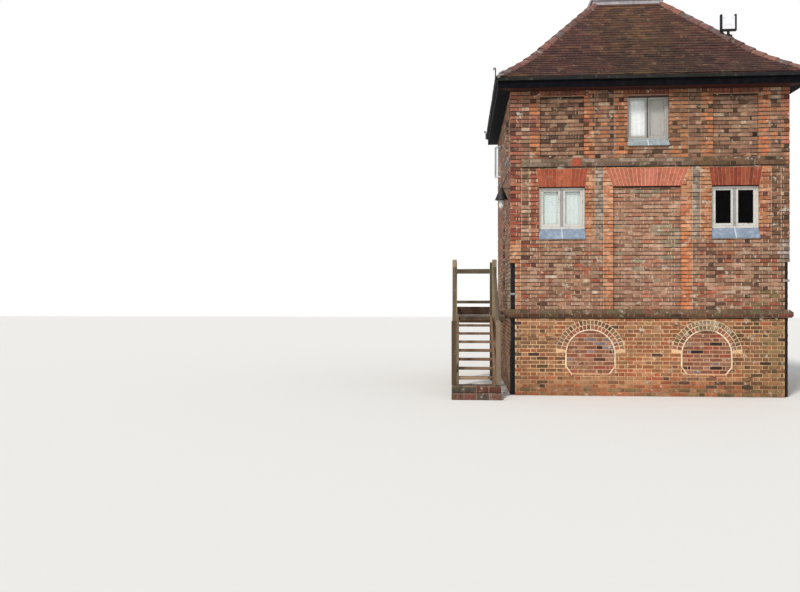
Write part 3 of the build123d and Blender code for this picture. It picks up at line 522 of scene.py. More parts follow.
def lay_soldiers(into, x0, x1, z0, z1, palette):
    """A row of bricks that stand on end."""
    count = round((x1 - x0) / SOLDIER_WIDE)
    step = (x1 - x0) / count
    for i in range(count):
        a = x0 + i * step
        outline = box_outline(a + SOLDIER_GAP, a + step - SOLDIER_GAP, z0, z1)
        brick(into, outline, FACE, BRICK_DEEP, pick(palette))


# Near-black of the painted shadow strips under arches, mouldings and panel heads
PAINTED_SHADOW_BLACK = shade(44, 28, 24)


def shadow_line(into, x0, x1, z0, z1, front):
    """A strip of painted shadow, under an arch or a moulding."""
    pieces = max(1, round((x1 - x0) / 0.4))
    step = (x1 - x0) / pieces
    for i in range(pieces):
        dark = chance.uniform(0.85, 1.2)
        outline = box_outline(x0 + i * step, x0 + (i + 1) * step, z0 + chance.uniform(0, 0.003), z1)
        brick(into, outline, front, THIN_DEEP, lit(PAINTED_SHADOW_BLACK, dark), 0.002, 0.001)


# Straight joints that run up the front in each storey, beside the strips of better brick
STRIPS_Z = 2.950
LOW_SEAMS = (-2.41, -0.84, 0.82)
MIDDLE_SEAMS = (-2.39, -2.25, -1.00, -0.84, 0.82, 0.97, 2.27, 2.45)
UPPER_SEAMS = (-2.39, -2.24, -1.00, -0.64, 0.75, 0.98, 2.26, 2.45)
# The strips from the left: right edge and palette, and where two are mixed the first one's share
PLAIN_UPPER = (UPPER_WARM, 0.15, UPPER)
UPPER_STRIPS = (
    (-2.39, UPPER_RED), (-2.24, UPPER), (-2.04, UPPER_ORANGE, 0.6, UPPER_RED), (-2.00, UPPER_ORANGE),
    (-1.30, UPPER), (-1.00, UPPER_ORANGE), (-0.64, *PLAIN_UPPER), (-0.39, UPPER_ORANGE, 0.8, UPPER_WARM),
    (0.39, *PLAIN_UPPER), (0.75, UPPER_WARM), (0.98, *PLAIN_UPPER), (1.21, UPPER_ORANGE, 0.4, UPPER_WARM),
    (2.04, *PLAIN_UPPER), (2.26, UPPER_ORANGE), (2.45, *PLAIN_UPPER), (HALF, UPPER_RED, 0.5, UPPER_WARM),
)
MIDDLE_STRIPS = (
    (-2.39, CRIMSON), (-2.25, UPPER, 0.9, MIDDLE), (-2.04, MIDDLE_RED), (-1.19, MIDDLE), (-1.00, ORANGE),
    (-0.84, GREY), (0.00, ORANGE_PALE), (0.82, ORANGE), (0.97, GREY), (1.19, ORANGE), (2.04, MIDDLE),
    (2.27, MIDDLE_RED, 0.5, ORANGE), (HALF, MIDDLE_DULL),
)
# The panel's two flanks and one upper strip have plainer tones below a height of their own
PANEL_FLANKS, FLANKS_Z, LEFT_STRIP, LEFT_STRIP_Z = (-0.84, 0.82), 3.1, (-2.24, -2.04), 5.1


def front_seams(z):
    if z < PLINTH_UNDER:
        return ()
    return LOW_SEAMS if z < STRIPS_Z else MIDDLE_SEAMS if z < BAND_Z else UPPER_SEAMS


def strip_at(strips, x, luck):
    """The palette of the strip that holds x."""
    main, *mixed = next(row[1:] for row in strips if x < row[0])
    return main if not mixed or luck < mixed[0] else mixed[1]


def front_palette(x, z):
    """The tones of the front's brickwork, which change from storey to storey and from strip to strip."""
    luck = chance.random()
    if z < PLINTH_UNDER:
        if z < 0.12 and luck < 0.3 or x > 2.0 and 0.6 < z < 1.3 and luck < 0.5:
            return MOSSY
        if x > 1.3 and luck < (x - 1.0) * 0.8:
            return GROUND_DULL
        if x > -0.6 and z < 0.62:
            return GROUND_RED if luck < 0.55 else GROUND
        return GROUND_DULL if x < -1.6 and luck < 0.35 else GROUND
    if z > BAND_Z:
        plain = LEFT_STRIP[0] < x < LEFT_STRIP[1] and z < LEFT_STRIP_Z
        return strip_at(UPPER_STRIPS, x, 0 if plain else luck)
    if PANEL_FLANKS[0] < x < PANEL_FLANKS[1] and z < FLANKS_Z:
        return ORANGE_HOT if x > 0 else ORANGE_PALE if z > STRIPS_Z else ORANGE
    if z > STRIPS_Z:
        return strip_at(MIDDLE_STRIPS, x, luck)
    if x > 1.8 and z < 2.05 and luck < 0.4 or z < PLINTH_TOP + 0.16 and luck < 0.1:
        return MOSSY
    if x < LOW_SEAMS[0]:
        return ORANGE
    if x > 2.35 and z > 2.5:
        return GREY
    if x > 0.9 and luck < 0.25:
        return UPPER
    return MIDDLE_RED if luck > 0.85 else MIDDLE


def left_palette(x, z):
    """The tones of the wall behind the stair."""
    if x > 0.5 and PLINTH_TOP < z < 2.6:
        return PATCHED if chance.random() < 0.8 else LEFT_SIDE
    return LEFT_SIDE if chance.random() < 0.7 else side_palette(x, z)


def side_palette(x, z):
    """The tones of the other walls."""
    if z < PLINTH_UNDER:
        return GROUND_DULL if abs(x) > 1.9 else GROUND
    if z < BAND_Z:
        return MIDDLE_RED if chance.random() < 0.15 else MIDDLE
    return UPPER_WARM if chance.random() < 0.3 else UPPER


def window_gap(x, wide, sill, head):
    return hole(box_outline(x - wide / 2 + 0.003, x + wide / 2 - 0.003, sill, head + 0.002))


def low_window_gaps():
    gaps = []
    for x in (-LOW_X, LOW_X):
        gaps.append(window_gap(x, LOW_WIDE, LOW_SILL, LOW_HEAD))
        gaps.append(hole(skewed_outline(x, LOW_WIDE, WINDOW_SKEW, LOW_HEAD, ARCH_HIGH), JOINT / 2))
    return gaps


def head_gap(x, wide, head=UP_HEAD):
    """Room for the row of soldiers over an upper opening."""
    reach = wide / 2 + HEAD_BEARING
    return hole(box_outline(x - reach, x + reach, head + 0.005, head + 0.110))


def head_row(into, x, wide, head, palette):
    """The row of soldiers over an upper opening."""
    reach = wide / 2 + HEAD_BEARING
    lay_soldiers(into, x - reach, x + reach, head + 0.006, head + 0.107, palette)


def guard_gap(x):
    """Room for the iron angle on a front corner."""
    return hole(box_outline(x - GUARD, x + GUARD, -0.1, GUARD_HIGH))


def band_gap():
    return hole(box_outline(BAND_LEFT, BAND_RIGHT, BAND_Z, BAND_TOP))


def front_bricks():
    gaps = low_window_gaps()
    gaps.append(window_gap(0, UP_WIDE, UP_SILL, UP_HEAD))
    gaps.append(window_gap(PANEL_X, PANEL_WIDE, PLINTH_TOP, LOW_HEAD))
    gaps.append(hole(skewed_outline(PANEL_X, PANEL_WIDE, PANEL_SKEW, LOW_HEAD, ARCH_HIGH), JOINT / 2))
    gaps += [window_gap(x, UP_PANEL_WIDE, UP_PANEL_Z, UP_HEAD) for x in (-UP_PANEL_X, UP_PANEL_X)]
    heads = ((-UP_PANEL_X, UP_PANEL_WIDE), (0, UP_WIDE), (UP_PANEL_X, UP_PANEL_WIDE))
    gaps += [head_gap(x, wide) for x, wide in heads]
    gaps += [hole(blind_corners(x, 0.012)) for x in (-BLIND_X, BLIND_X)]
    gaps += [guard_gap(-HALF), guard_gap(HALF), band_gap()]
    rings = [((x, SPRING_Z), RING_OUTER + JOINT / 2) for x in (-BLIND_X, BLIND_X)]
    made = Gathered()
    lay_bricks(
        made, 0, 2 * HALF, WALL_LEVELS, gaps, front_palette, FACE, rings, owned_ends, seams_at=front_seams,
    )
    for x, wide in heads:
        head_row(made, x, wide, UP_HEAD, SOLDIER)
    made.piece_at(0, "front_bricks")


def back_bricks():
    gaps = low_window_gaps()
    gaps += [window_gap(0, UP_WIDE, UP_SILL, UP_HEAD), head_gap(0, UP_WIDE), band_gap()]
    made = Gathered()
    lay_bricks(made, 0, 2 * HALF, WALL_LEVELS, gaps, side_palette, FACE, ends_at=owned_ends)
    head_row(made, 0, UP_WIDE, UP_HEAD, UPPER_ORANGE)
    made.piece_at(2, "back_bricks")


def side_bricks(quarter, name, door):
    """A side wall's bricks. Its corner bricks belong to the front and back, but for the guard's height."""
    gaps = []
    for x in (-SIDE_X, SIDE_X):
        gaps += [window_gap(x, UP_WIDE, SIDE_SILL, SIDE_HEAD), head_gap(x, UP_WIDE, SIDE_HEAD)]
    gaps.append(guard_gap(-HALF if quarter == 1 else HALF))
    doorway = window_gap(DOOR_X, DOOR_WIDE, DOOR_FOOT, DOOR_HEAD)
    if door:
        gaps += [doorway, hole(box_outline(DOOR_X - 0.5, DOOR_X + 0.5, DOOR_HEAD, DOOR_HEAD + 0.11))]
    made = Gathered()

    def ends_at(z):
        near_guard = "end" if z < GUARD_HIGH else "skip"
        return (near_guard, "skip") if quarter == 1 else ("skip", near_guard)

    palette_at = left_palette if quarter == 3 else side_palette
    lay_bricks(made, 0, 2 * HALF, WALL_LEVELS, gaps, palette_at, FACE, ends_at=ends_at, shift=1)
    for x in (-SIDE_X, SIDE_X):
        head_row(made, x, UP_WIDE, SIDE_HEAD, UPPER_ORANGE)
    if door:
        reach = DOOR_WIDE / 2 + HEAD_BEARING
        lay_soldiers(made, DOOR_X - reach, DOOR_X + reach, DOOR_HEAD + 0.004, DOOR_HEAD + 0.104, MIDDLE_RED)
        beside = DOOR_WIDE + 0.14
        lay_bricks(made, DOOR_X, beside, course_levels([PLINTH_COURSES]), [doorway], side_palette, FACE)
    made.piece_at(quarter, name)


def panel_bricks():
    """Bricks on the sunk panels of the front, with a strip of painted shadow under each panel's head."""
    def low_tones(x, z):
        return PATCHED if x > 0.2 and 2.8 < z < 3.23 and chance.random() < 0.7 else PANEL

    made = Gathered()
    face = FACE + PANEL_DEEP
    levels = courses_between(PLINTH_TOP, LOW_HEAD - 0.028)
    lay_bricks(made, PANEL_X, PANEL_WIDE - PANEL_FIT, levels, [], low_tones, face, deep=THIN_DEEP)
    shadow_line(made, PANEL_X - 0.630, PANEL_X + 0.630, LOW_HEAD - 0.027, LOW_HEAD - 0.001, face)
    face = FACE + UP_PANEL_DEEP
    levels = courses_between(UP_PANEL_Z, UP_HEAD - UP_SHADED)
    for x in (-UP_PANEL_X, UP_PANEL_X):
        lay_bricks(made, x, UP_PANEL_WIDE - PANEL_FIT, levels, [], lambda x, z: UPPER, face, deep=THIN_DEEP)
        shadow_line(made, x - 0.414, x + 0.414, UP_HEAD - UP_SHADED, UP_HEAD - 0.001, face)
    made.piece_at(0, "panel_bricks")


def inside_blind(outline, x, inside):
    """The part of a brick's outline that lies in a closed arch."""
    for corner in list(outline):
        if corner[1] > SPRING_Z and hypot(corner[0] - x, corner[1] - SPRING_Z) > inside:
            outline = keep_left(outline, *tangent((x, SPRING_Z), inside, corner))
    for side in (-1, 1):
        foot = (x + side * (inside - SPLAY), BLIND_FOOT)
        knee = (x + side * inside, KNEE_Z)
        top = (x + side * inside, SPRING_Z)
        for low, high in ((foot, knee), (knee, top)):
            outline = keep_left(outline, low, high) if side > 0 else keep_left(outline, high, low)
    return outline


def fill_bricks():
    """The brickwork that closes the two round arches."""
    made = Gathered()
    face = -HALF + FILL_BACK - 0.004
    levels = course_levels([(BLIND_FOOT + 0.01, SPRING_Z + BLIND_RADIUS, 11)])
    for x, light in ((-BLIND_X, 1.16), (BLIND_X, 1.0)):
        for i, (z0, z1) in enumerate(levels):
            for a, b in flemish(2 * BLIND_RADIUS, i % 2 == 1):
                outline = inside_blind(box_outline(a + x, b + x, z0, z1), x, BLIND_RADIUS - 0.014)
                if big_enough(outline):
                    brick(made, outline, face, THIN_DEEP, lit(pick(FILL, 0.14), light))
    made.piece_at(0, "fill_bricks")


def mortar_bed(into, corners, front, tone=shade(*MORTAR_PALE)):
    """A closed slab of mortar behind bricks that are set into the wall."""
    points = [(x, y, z) for y in (front, -HALF + BEDDED) for x, z in corners]
    into.add(points, sleeve(len(corners), 2, True), tone)


def flat_arch(into, x, wide, skew, palette, putty, joint):
    """Rubbed bricks that taper towards one centre under the arch, each cut in two by a short joint."""
    count = 2 * round(wide / TAPER_WIDE / 2) + 1
    half, gap, far = wide / 2, joint / 2, 9
    spread = (wide + 2 * skew) / wide
    foot, head = LOW_HEAD - 0.002, LOW_HEAD + ARCH_HIGH
    mortar_bed(into, skewed_outline(x, wide, skew, LOW_HEAD, ARCH_HIGH), -HALF - 0.0005, shade(*putty))
    for i in range(count):
        low = [x - half + wide * (i + step) / count for step in (0, 1)]
        high = [x + (edge - x) * spread for edge in low]
        whole = [(low[0] + gap, foot), (low[1] - gap, foot), (high[1] - gap, head), (high[0] + gap, head)]
        split = LOW_HEAD + ARCH_HIGH * (0.64 if i % 2 else 0.36)
        lower = keep_left(whole, (x + far, split - 0.0015), (x - far, split - 0.0015))
        upper = keep_left(whole, (x - far, split + 0.0015), (x + far, split + 0.0015))
        tone = pick(palette, 0.05)
        for part in (lower, upper):
            own = tuple(c * chance.uniform(0.96, 1.04) for c in tone)
            brick(into, part, -HALF - 0.004, 0.07, own, 0.002, 0.0005)


def window_arches(quarter, name, node):
    made = Gathered()
    for x, palette in ((-LOW_X, RUBBED), (LOW_X, RUBBED_DARK)):
        flat_arch(made, x, LOW_WIDE, WINDOW_SKEW, palette, (200, 124, 96), 0.008)
    made.piece_at(quarter, name, "rubbed_brick", (node,))


def panel_arch():
    made = Gathered()
    flat_arch(made, PANEL_X, PANEL_WIDE, PANEL_SKEW, RUBBED_PALE, (230, 160, 130), 0.012)
    made.piece_at(0, "panel_arch_bricks", "rubbed_brick", ("panel_arch",))


LIME_BRIGHT, LIME_WORN = shade(240, 218, 184), shade(196, 172, 142)


def ring_point(x, radius, angle):
    return (x + radius * cos(angle), SPRING_Z + radius * sin(angle))


def arch_rings():
    """Two rings of headers round each closed arch, on a bed of pale mortar."""
    def between_rings(x, inner, outer, a, b):
        return [ring_point(x, r, t) for r, t in ((inner, a), (outer, a), (outer, b), (inner, b))]

    made = Gathered()
    start, sweep = radians(RING_START), pi - 2 * radians(RING_START)
    steps = 40
    for x in (-BLIND_X, BLIND_X):
        for i in range(steps):
            a, b = start + sweep * i / steps, start + sweep * (i + 1) / steps
            mortar_bed(made, between_rings(x, BLIND_RADIUS - 0.001, RING_OUTER, a, b), -HALF + 0.0005)
        for ring, tones in enumerate((RING_RED, RING)):
            inner = BLIND_RADIUS + ring * RING_HIGH + RING_JOINT / 2
            outer = inner + RING_HIGH - RING_JOINT
            middle = (inner + outer) / 2
            count = round(sweep * middle / TAPER_WIDE)
            gap = asin(RING_JOINT / 2 / middle)
            for i in range(count):
                a, b = start + sweep * i / count + gap, start + sweep * (i + 1) / count - gap
                crown = x > 0 and abs((a + b) / 2 - pi / 2) < 0.42
                corners = between_rings(x, inner, outer, a, b)
                brick(made, corners, -HALF - 0.005, 0.09, pick(PATCHED if crown else tones, 0.12))
    made.piece_at(0, "arch_rings", "brick", ("blind_arches",))


def lime_lines():
    """The bright line of lime pointing round the brickwork in each closed arch."""
    made = Gathered()
    steps = 36
    for x in (-BLIND_X, BLIND_X):
        lines = []
        for radius in (BLIND_RADIUS - 0.016, BLIND_RADIUS + 0.011):
            line = [(x + radius - SPLAY, BLIND_FOOT), (x + radius, KNEE_Z)]
            line += [ring_point(x, radius, pi * step / steps) for step in range(steps + 1)]
            lines.append([*line, (x - radius, KNEE_Z), (x - radius + SPLAY, BLIND_FOOT)])
        near, far = lines
        for k in range(len(near) - 1):
            corners = [near[k], far[k], far[k + 1], near[k + 1]]
            ragged = [(px + chance.uniform(-0.0015, 0.0015), pz) for px, pz in corners]
            light = chance.uniform(0.88, 1.04)
            tone = LIME_WORN if x > 0 and 15 < k < 24 else LIME_BRIGHT
            brick(made, ragged, -HALF - 0.004, THIN_DEEP, lit(tone, light), 0.002, 0.0004)
    made.piece_at(0, "lime_lines", "rubbed_brick")


def run_brick(into, profile, x0, x1, tone, start_mitre=0, end_mitre=0):
    """A moulded brick along the wall, from its section as (outwards, z) points.

    A mitre of 1 makes an end follow the corner's diagonal.
    """
    inner = shrunk(profile, RUN_EDGE)
    stations = (
        (x0, inner, -start_mitre), (x0 + RUN_EDGE, profile, -start_mitre),
        (x1 - RUN_EDGE, profile, end_mitre), (x1, inner, end_mitre),
    )
    points = [(x + lean * out, -HALF - out, z) for x, section, lean in stations for out, z in section]
    into.add(points, sleeve(len(profile), len(stations)), tone, own_place(points))


PLINTH_LOW = [(-0.03, 1.503), (0.032, 1.503), (0.047, 1.516), (0.058, 1.537), (0.058, 1.571), (-0.03, 1.571)]
PLINTH_HIGH = [(-0.03, 1.577), (0.058, 1.577), (0.058, 1.602), (0.004, 1.653), (-0.03, 1.653)]


# Stretches of painted shadow under the band
BAND_SHADOWS = (
    (-2.39, -2.07), (-2.05, -1.19), (-1.17, -0.81), (-0.79, 0.75), (0.77, 1.17), (1.19, 2.05), (2.07, 2.50),
)


def plinth_bricks():
    """Moulded course with a hollow under its face and a strip of painted shadow below it, and a weathered top
    course of splayed bricks.
    """
    whole = Gathered()
    door_left, door_right = DOOR_X - DOOR_BREAK, DOOR_X + DOOR_BREAK
    for quarter in range(4):
        run = Gathered()
        for odd, profile, palette in ((False, PLINTH_LOW, PLINTH), (True, PLINTH_HIGH, PLINTH_CAP)):
            spans = flemish(2 * HALF, odd)
            for k, (x0, x1) in enumerate(spans):
                if quarter == 3 and x1 > door_left and x0 < door_right:
                    if x0 < door_left - 0.05:
                        x1 = door_left
                    elif x1 > door_right + 0.05:
                        x0 = door_right
                    else:
                        continue
                run_brick(run, profile, x0, x1, pick(palette), int(k == 0), int(k == len(spans) - 1))
        left, right = -HALF + GUARD, HALF - GUARD
        ends = ((left, door_left), (door_right, right)) if quarter == 3 else ((left, right),)
        # A strip of painted shadow under the moulded course
        for x0, x1 in ends:
            shadow_line(run, x0, x1, PLINTH_UNDER - 0.026, PLINTH_UNDER - 0.001, -HALF - 0.010)
        whole.take(run.turned(quarter))
    whole.piece("plinth_bricks", brick_weathered, "weathered_brick")


def band_bricks():
    """Two courses that stand forward under the upper storey, front and back, with painted shadow under them.
    """
    whole = Gathered()
    shift = (BAND_LEFT + BAND_RIGHT) / 2
    patch_left, patch_right = RED_PATCH
    for quarter in (0, 2):
        run = Gathered()
        for i, (z0, z1) in enumerate(course_levels([BAND_COURSES])):
            profile = [(-0.03, z0), (0.028, z0), (0.028, z1), (-0.03, z1)]
            for x0, x1 in flemish(BAND_RIGHT - BAND_LEFT, i == 1):
                x0, x1 = x0 + shift, x1 + shift
                if quarter == 0 and x1 > patch_left and x0 < patch_right:
                    for a, b in ((x0, patch_left - JOINT), (patch_right + JOINT, x1)):
                        if b - a > 0.03:
                            run_brick(run, profile, a, b, pick(BAND))
                    continue
                right_end = quarter == 0 and x0 > 0.7
                light = (0.78, 1.12)[i] * (0.74 if right_end else 1.0)
                tones = MIDDLE_DULL if right_end else (BAND, BAND_PALE)[i]
                if quarter == 0 and x1 < -1.95 and i:
                    tones = PATCHED
                run_brick(run, profile, x0, x1, lit(pick(tones), light))
            if quarter == 0:
                run_brick(run, profile, *RED_PATCH, shade(194, 86, 62))
        # Strips of painted shadow under the band
        for x0, x1 in BAND_SHADOWS:
            shadow_line(run, x0, x1, BAND_Z - 0.026, BAND_Z + 0.002, -HALF - 0.012)
        whole.take(run.turned(quarter))
    whole.piece("band_bricks", brick_weathered, "weathered_brick")


# Timber and metal bars

def chamfered_shape():
    """Corner signs and outward faces of a box whose edges are all taken off."""
    signs = list(product((-1, 1), repeat=3))

    def corner(axis, side, across, face):
        """The point on one of the three faces that meet at a corner."""
        sign = (*across[:axis], side, *across[axis:])
        return signs.index(sign) * 3 + face

    faces = []
    for axis in range(3):
        b, c = [k for k in range(3) if k != axis]
        for side in (-1, 1):
            faces.append([corner(axis, side, across, axis) for across in box_outline(-1, 1, -1, 1)])
        for across in product((-1, 1), repeat=2):
            edge = ((-1, b), (1, b), (1, c), (-1, c))
            faces.append([corner(axis, side, across, face) for side, face in edge])
    faces += [[i * 3, i * 3 + 1, i * 3 + 2] for i in range(8)]
    spots = [
        np.array([s * (1.0 if k == axis else 0.8) for k, s in enumerate(sign)])
        for sign in signs for axis in range(3)
    ]
    made = []
    for face in faces:
        p = [spots[i] for i in face]
        out = np.dot(np.cross(p[1] - p[0], p[2] - p[1]), sum(p))
        made.append(tuple(face if out > 0 else reversed(face)))
    return signs, made


CORNER_SIGNS, CHAMFERED = chamfered_shape()


def timber(into, low, high, along, tone, edge=0.004, wear=0.0, tilt=None):
    """A sawn or planed length with its arrises off. along is the axis of its grain."""
    low, high = np.minimum(low, high), np.maximum(low, high)
    middle, half = (low + high) / 2, (high - low) / 2
    edge = min(edge, 0.4 * half.min())
    points, grain = [], []
    shift = chance.uniform(-30, 30, 3)
    order = [along] + [k for k in range(3) if k != along]
    for sign in CORNER_SIGNS:
        off = np.array(sign) * chance.uniform(-1.6 * wear, 0, 3)
        for axis in range(3):
            inset = np.array([0 if k == axis else edge for k in range(3)])
            local = np.array(sign) * (half - inset) + off
            grain.append(tuple(local[order] + shift))
            points.append(middle + (tilt @ local if tilt is not None else local))
    into.add(points, CHAMFERED, tone, grain)


def bar_between(into, a, b, wide, deep, tone, edge=0.003):
    """A straight length between two points that may slope."""
    a, b = Vector(a), Vector(b)
    way = b - a
    frame_of = way.to_track_quat("X", "Z").to_matrix()
    middle = np.array((a + b) / 2)
    half = np.array([way.length / 2, wide / 2, deep / 2])
    timber(into, middle - half, middle + half, 0, tone, edge, 0.0, np.array(frame_of))


def turned_shape(into, profile, centre, tone, sides):
    """A turned solid from (radius, height) points, closed at both ends where the radius is nothing."""
    points, faces = [], []
    n = len(profile)
    for k in range(sides):
        t = 2 * pi * k / sides
        points += [(centre[0] + r * cos(t), centre[1] + r * sin(t), centre[2] + z) for r, z in profile]
        m = (k + 1) % sides
        faces += [(k * n + i, m * n + i, m * n + i + 1, k * n + i + 1) for i in range(n - 1)]
    low = tuple(reversed([k * n for k in range(sides)]))
    high = tuple(k * n + n - 1 for k in range(sides))
    into.add(points, [*faces, low, high], tone)


# Windows and door

SIDES = ("front", "right", "back", "left")
PAINT = shade(214, 212, 204)
PAINT_GREY = shade(176, 172, 166)
LEAD_LOW, LEAD_HIGH, LEAD_STRIP = shade(132, 146, 164), shade(152, 160, 162), shade(206, 212, 216)
DOOR_BLACK, IRON = shade(40, 38, 38), shade(30, 29, 30)
# Painted shade in the windows: a dark strip under each head, and middle posts greyed with the shade between
# the casements
HEAD_SHADE, POST_HALF_SHADE, POST_DEEP_SHADE = shade(48, 30, 26), shade(158, 156, 156), shade(84, 86, 92)
SILL_GREY, THRESHOLD = shade(120, 124, 130), shade(96, 84, 74)
DOOR_BOARDS = [(1, 44, 41, 40), (1, 36, 34, 34)]
DOOR_POST = 0.070
LAP = 0.001


def four_bars(into, left, right, low, high, y0, y1, wide, foot, tone, edge=0.004):
    """Two stiles, and between them a bottom rail as high as the foot and a top rail."""
    timber(into, (left, y0, low), (left + wide, y1, high), 2, tone, edge)
    timber(into, (right - wide, y0, low), (right, y1, high), 2, tone, edge)
    near, far = left + wide - LAP, right - wide + LAP
    timber(into, (near, y0, low), (far, y1, low + foot), 0, tone, edge)
    timber(into, (near, y0, high - wide), (far, y1, high), 0, tone, edge)


def window_timbers(into, panes, x, wide, sill, head, bars, tone, open_leaf=0.0):
    """Frame, middle post and two casements, with a pane in each. bars holds their widths."""
    y0, y1 = FRAME_FRONT, FRAME_BACK
    left, right = x - wide / 2 + LAP, x + wide / 2 - LAP
    rail, leaf_wide, post = bars
    big = post > 0.03
    four_bars(into, left, right, sill, head, y0, y1, rail, rail, tone)
    # A dark strip across the head, painted shadow of the arch; and a middle post greyed with painted shade
    drop = 0.024 if big else 0.038
    timber(into, (left, y0 - 0.003, head - drop), (right, y0 + 0.01, head - LAP), 0, HEAD_SHADE, 0.002)
    shaded = POST_HALF_SHADE if big else POST_DEEP_SHADE
    timber(into, (x - post / 2, y0, sill + rail - LAP), (x + post / 2, y1, head - rail + LAP), 2, shaded)
    y, leaf_deep = y0 + 0.012, 0.045
    glass_y = y + leaf_deep / 2
    for side in (-1, 1):
        swings = open_leaf and side > 0
        gap = 0.005 if swings else 0.002
        a, b = (left + rail, x - post / 2) if side < 0 else (x + post / 2, right - rail)
        a, b, low, high = a + gap, b - gap, sill + rail + gap, head - rail - gap
        leaf, pane = Gathered(), Gathered()
        four_bars(leaf, a, b, low, high, y, y + leaf_deep, leaf_wide, leaf_wide + 0.008, tone, 0.003)
        timber(
            pane, (a + leaf_wide - 0.004, glass_y, low + leaf_wide - 0.002),
            (b - leaf_wide + 0.004, glass_y + 0.005, high - leaf_wide + 0.004), 0, (0.5, 0.5, 0.5), 0.0005,
        )
        if swings:
            for part in (leaf, pane):
                part.points = [swung(p, (b, y), open_leaf) for p in part.points]
        into.take(leaf)
        panes[side].take(pane)


def swung(point, hinge, angle):
    dx, dy = point[0] - hinge[0], point[1] - hinge[1]
    c, s = cos(angle), sin(angle)
    return (hinge[0] + c * dx - s * dy, hinge[1] + s * dx + c * dy, point[2])


def lead_apron(into, x, wide, sill, high, tone=LEAD_LOW):
    """Sheet lead dressed over the sill in two slack lengths, with a pale strip under their joint."""
    back, nose = FRAME_FRONT, -HALF - 0.040
    profile = [
        (back, sill + high), (back - 0.008, sill + high), (back - 0.055, sill + high * 0.52),
        (nose + 0.004, sill + 0.030), (nose, sill + 0.022), (nose, sill + 0.004),
        (nose + 0.006, sill), (back, sill),
    ]
    lengths = (
        (x - wide / 2, x - 0.010, 0.0, tone, 14), (x + 0.010, x + wide / 2, 0.0, tone, 14),
        (x - 0.022, x + 0.022, 0.004, LEAD_STRIP, 2),
    )
    for a, b, under, colour, stations in lengths:
        points = []
        wave = chance.uniform(0, 6, 4)
        for k in range(stations + 1):
            px = a + (b - a) * k / stations
            swell = 0.0022 * sin(wave[0] + k * 0.9) + 0.0016 * sin(wave[1] + k * 2.1)
            for i, (y, z) in enumerate(profile):
                free = 1 if 1 < i < 6 and not under else 0
                deeper = under if 0 < i < 7 else 0.0
                lift = free * 0.5 * swell * (1 if i < 5 else 0)
                points.append((px, max(nose, y + free * swell) + deeper, z + lift))
        into.add(points, flipped(sleeve(len(profile), stations + 1)), colour)
    left, right = x - wide / 2 + LAP, x + wide / 2 - LAP
    timber(into, (left, back, sill), (right, back + 0.09, sill + high - LAP), 0, SILL_GREY)


# Width, foot and head of each kind of window, and the widths of its frame, casement bars and post
LOW_WINDOW = (LOW_WIDE, LOW_SILL + LOW_APRON, LOW_HEAD, (0.045, 0.042, 0.045))
UP_WINDOW = (UP_WIDE, UP_SILL + UP_APRON, UP_HEAD, (0.034, 0.030, 0.020))
SIDE_WINDOW = (UP_WIDE, SIDE_SILL + UP_APRON, SIDE_HEAD, (0.034, 0.030, 0.020))


def all_windows():
    """Joinery, panes and lead of every window, side by side."""
    dark, clear, lead = Gathered(), Gathered(), Gathered()
    for quarter, name in enumerate(SIDES):
        wood, sheets, dark_here, clear_here = (Gathered() for _ in range(4))
        pale = {-1: clear_here, 1: clear_here}
        deep = {-1: dark_here, 1: dark_here}
        if quarter in (0, 2):
            for x in (-LOW_X, LOW_X):
                window_timbers(wood, pale if quarter == 0 and x < 0 else deep, x, *LOW_WINDOW, PAINT)
                lead_apron(sheets, x, LOW_WIDE, LOW_SILL, LOW_APRON)
            window_timbers(wood, pale if quarter == 0 else deep, 0, *UP_WINDOW, PAINT_GREY)
            lead_apron(sheets, 0, UP_WIDE, UP_SILL, UP_APRON, LEAD_HIGH)
        else:
            for x in (-SIDE_X, SIDE_X):
                opened = radians(38) if quarter == 3 and x < 0 else 0.0
                panes = {-1: dark_here, 1: clear_here} if opened else deep
                window_timbers(wood, panes, x, *SIDE_WINDOW, PAINT, opened)
                lead_apron(sheets, x, UP_WIDE, SIDE_SILL, UP_APRON)
        wood.turned(quarter).piece(name + "_joinery", window_paint, "window_paint", (name + "_windows",))
        dark.take(dark_here.turned(quarter))
        clear.take(clear_here.turned(quarter))
        lead.take(sheets.turned(quarter))
    dark.piece("panes_painted_dark", glass_painted_dark, "glass", ("front_glass", "back_glass", "left_glass", "right_glass"))
    clear.piece("clear_panes", clear_glass, "glass")
    lead.piece("lead_aprons", sheet_lead, "lead", ("lead_sills",))


def curtain(name, x0, x1, z0, z1, material, folds, depth):
    """Thin cloth that hangs behind a pane in soft folds. Its flat width is measured along the folds."""
    count, rows = folds * 8, 10
    points, faces, across = [], [], []
    for k in range(count + 1):
        t = k / count
        x = x0 + (x1 - x0) * t
        off = depth * sin(2 * pi * folds * t + 0.7 * sin(5 * t)) * (0.8 + 0.2 * sin(9 * t))
        across.append((x, off))
        for r in range(rows + 1):
            fall = r / rows
            points.append((x, CURTAIN_Y + off * (0.75 + 0.25 * fall), z1 + (z0 - z1) * fall))
    for k in range(count):
        for r in range(rows):
            a = k * (rows + 1) + r
            faces.append((a, a + 1, a + rows + 2, a + rows + 1))
    made = put_up(name, new_mesh(name, [tuple(p) for p in turn(points, 0)], faces, material, True))
    thick = made.modifiers.new("cloth", "SOLIDIFY")
    thick.thickness = 0.0012
    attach(made, "root")


LOW_CURTAIN_WIDE, LOW_CURTAIN_APART, LOW_CURTAIN_SHORT = 0.363, 0.027, 0.050
UP_CURTAIN_WIDE, UP_CURTAIN_APART, UP_CURTAIN_SHORT = 0.337, 0.014, 0.038


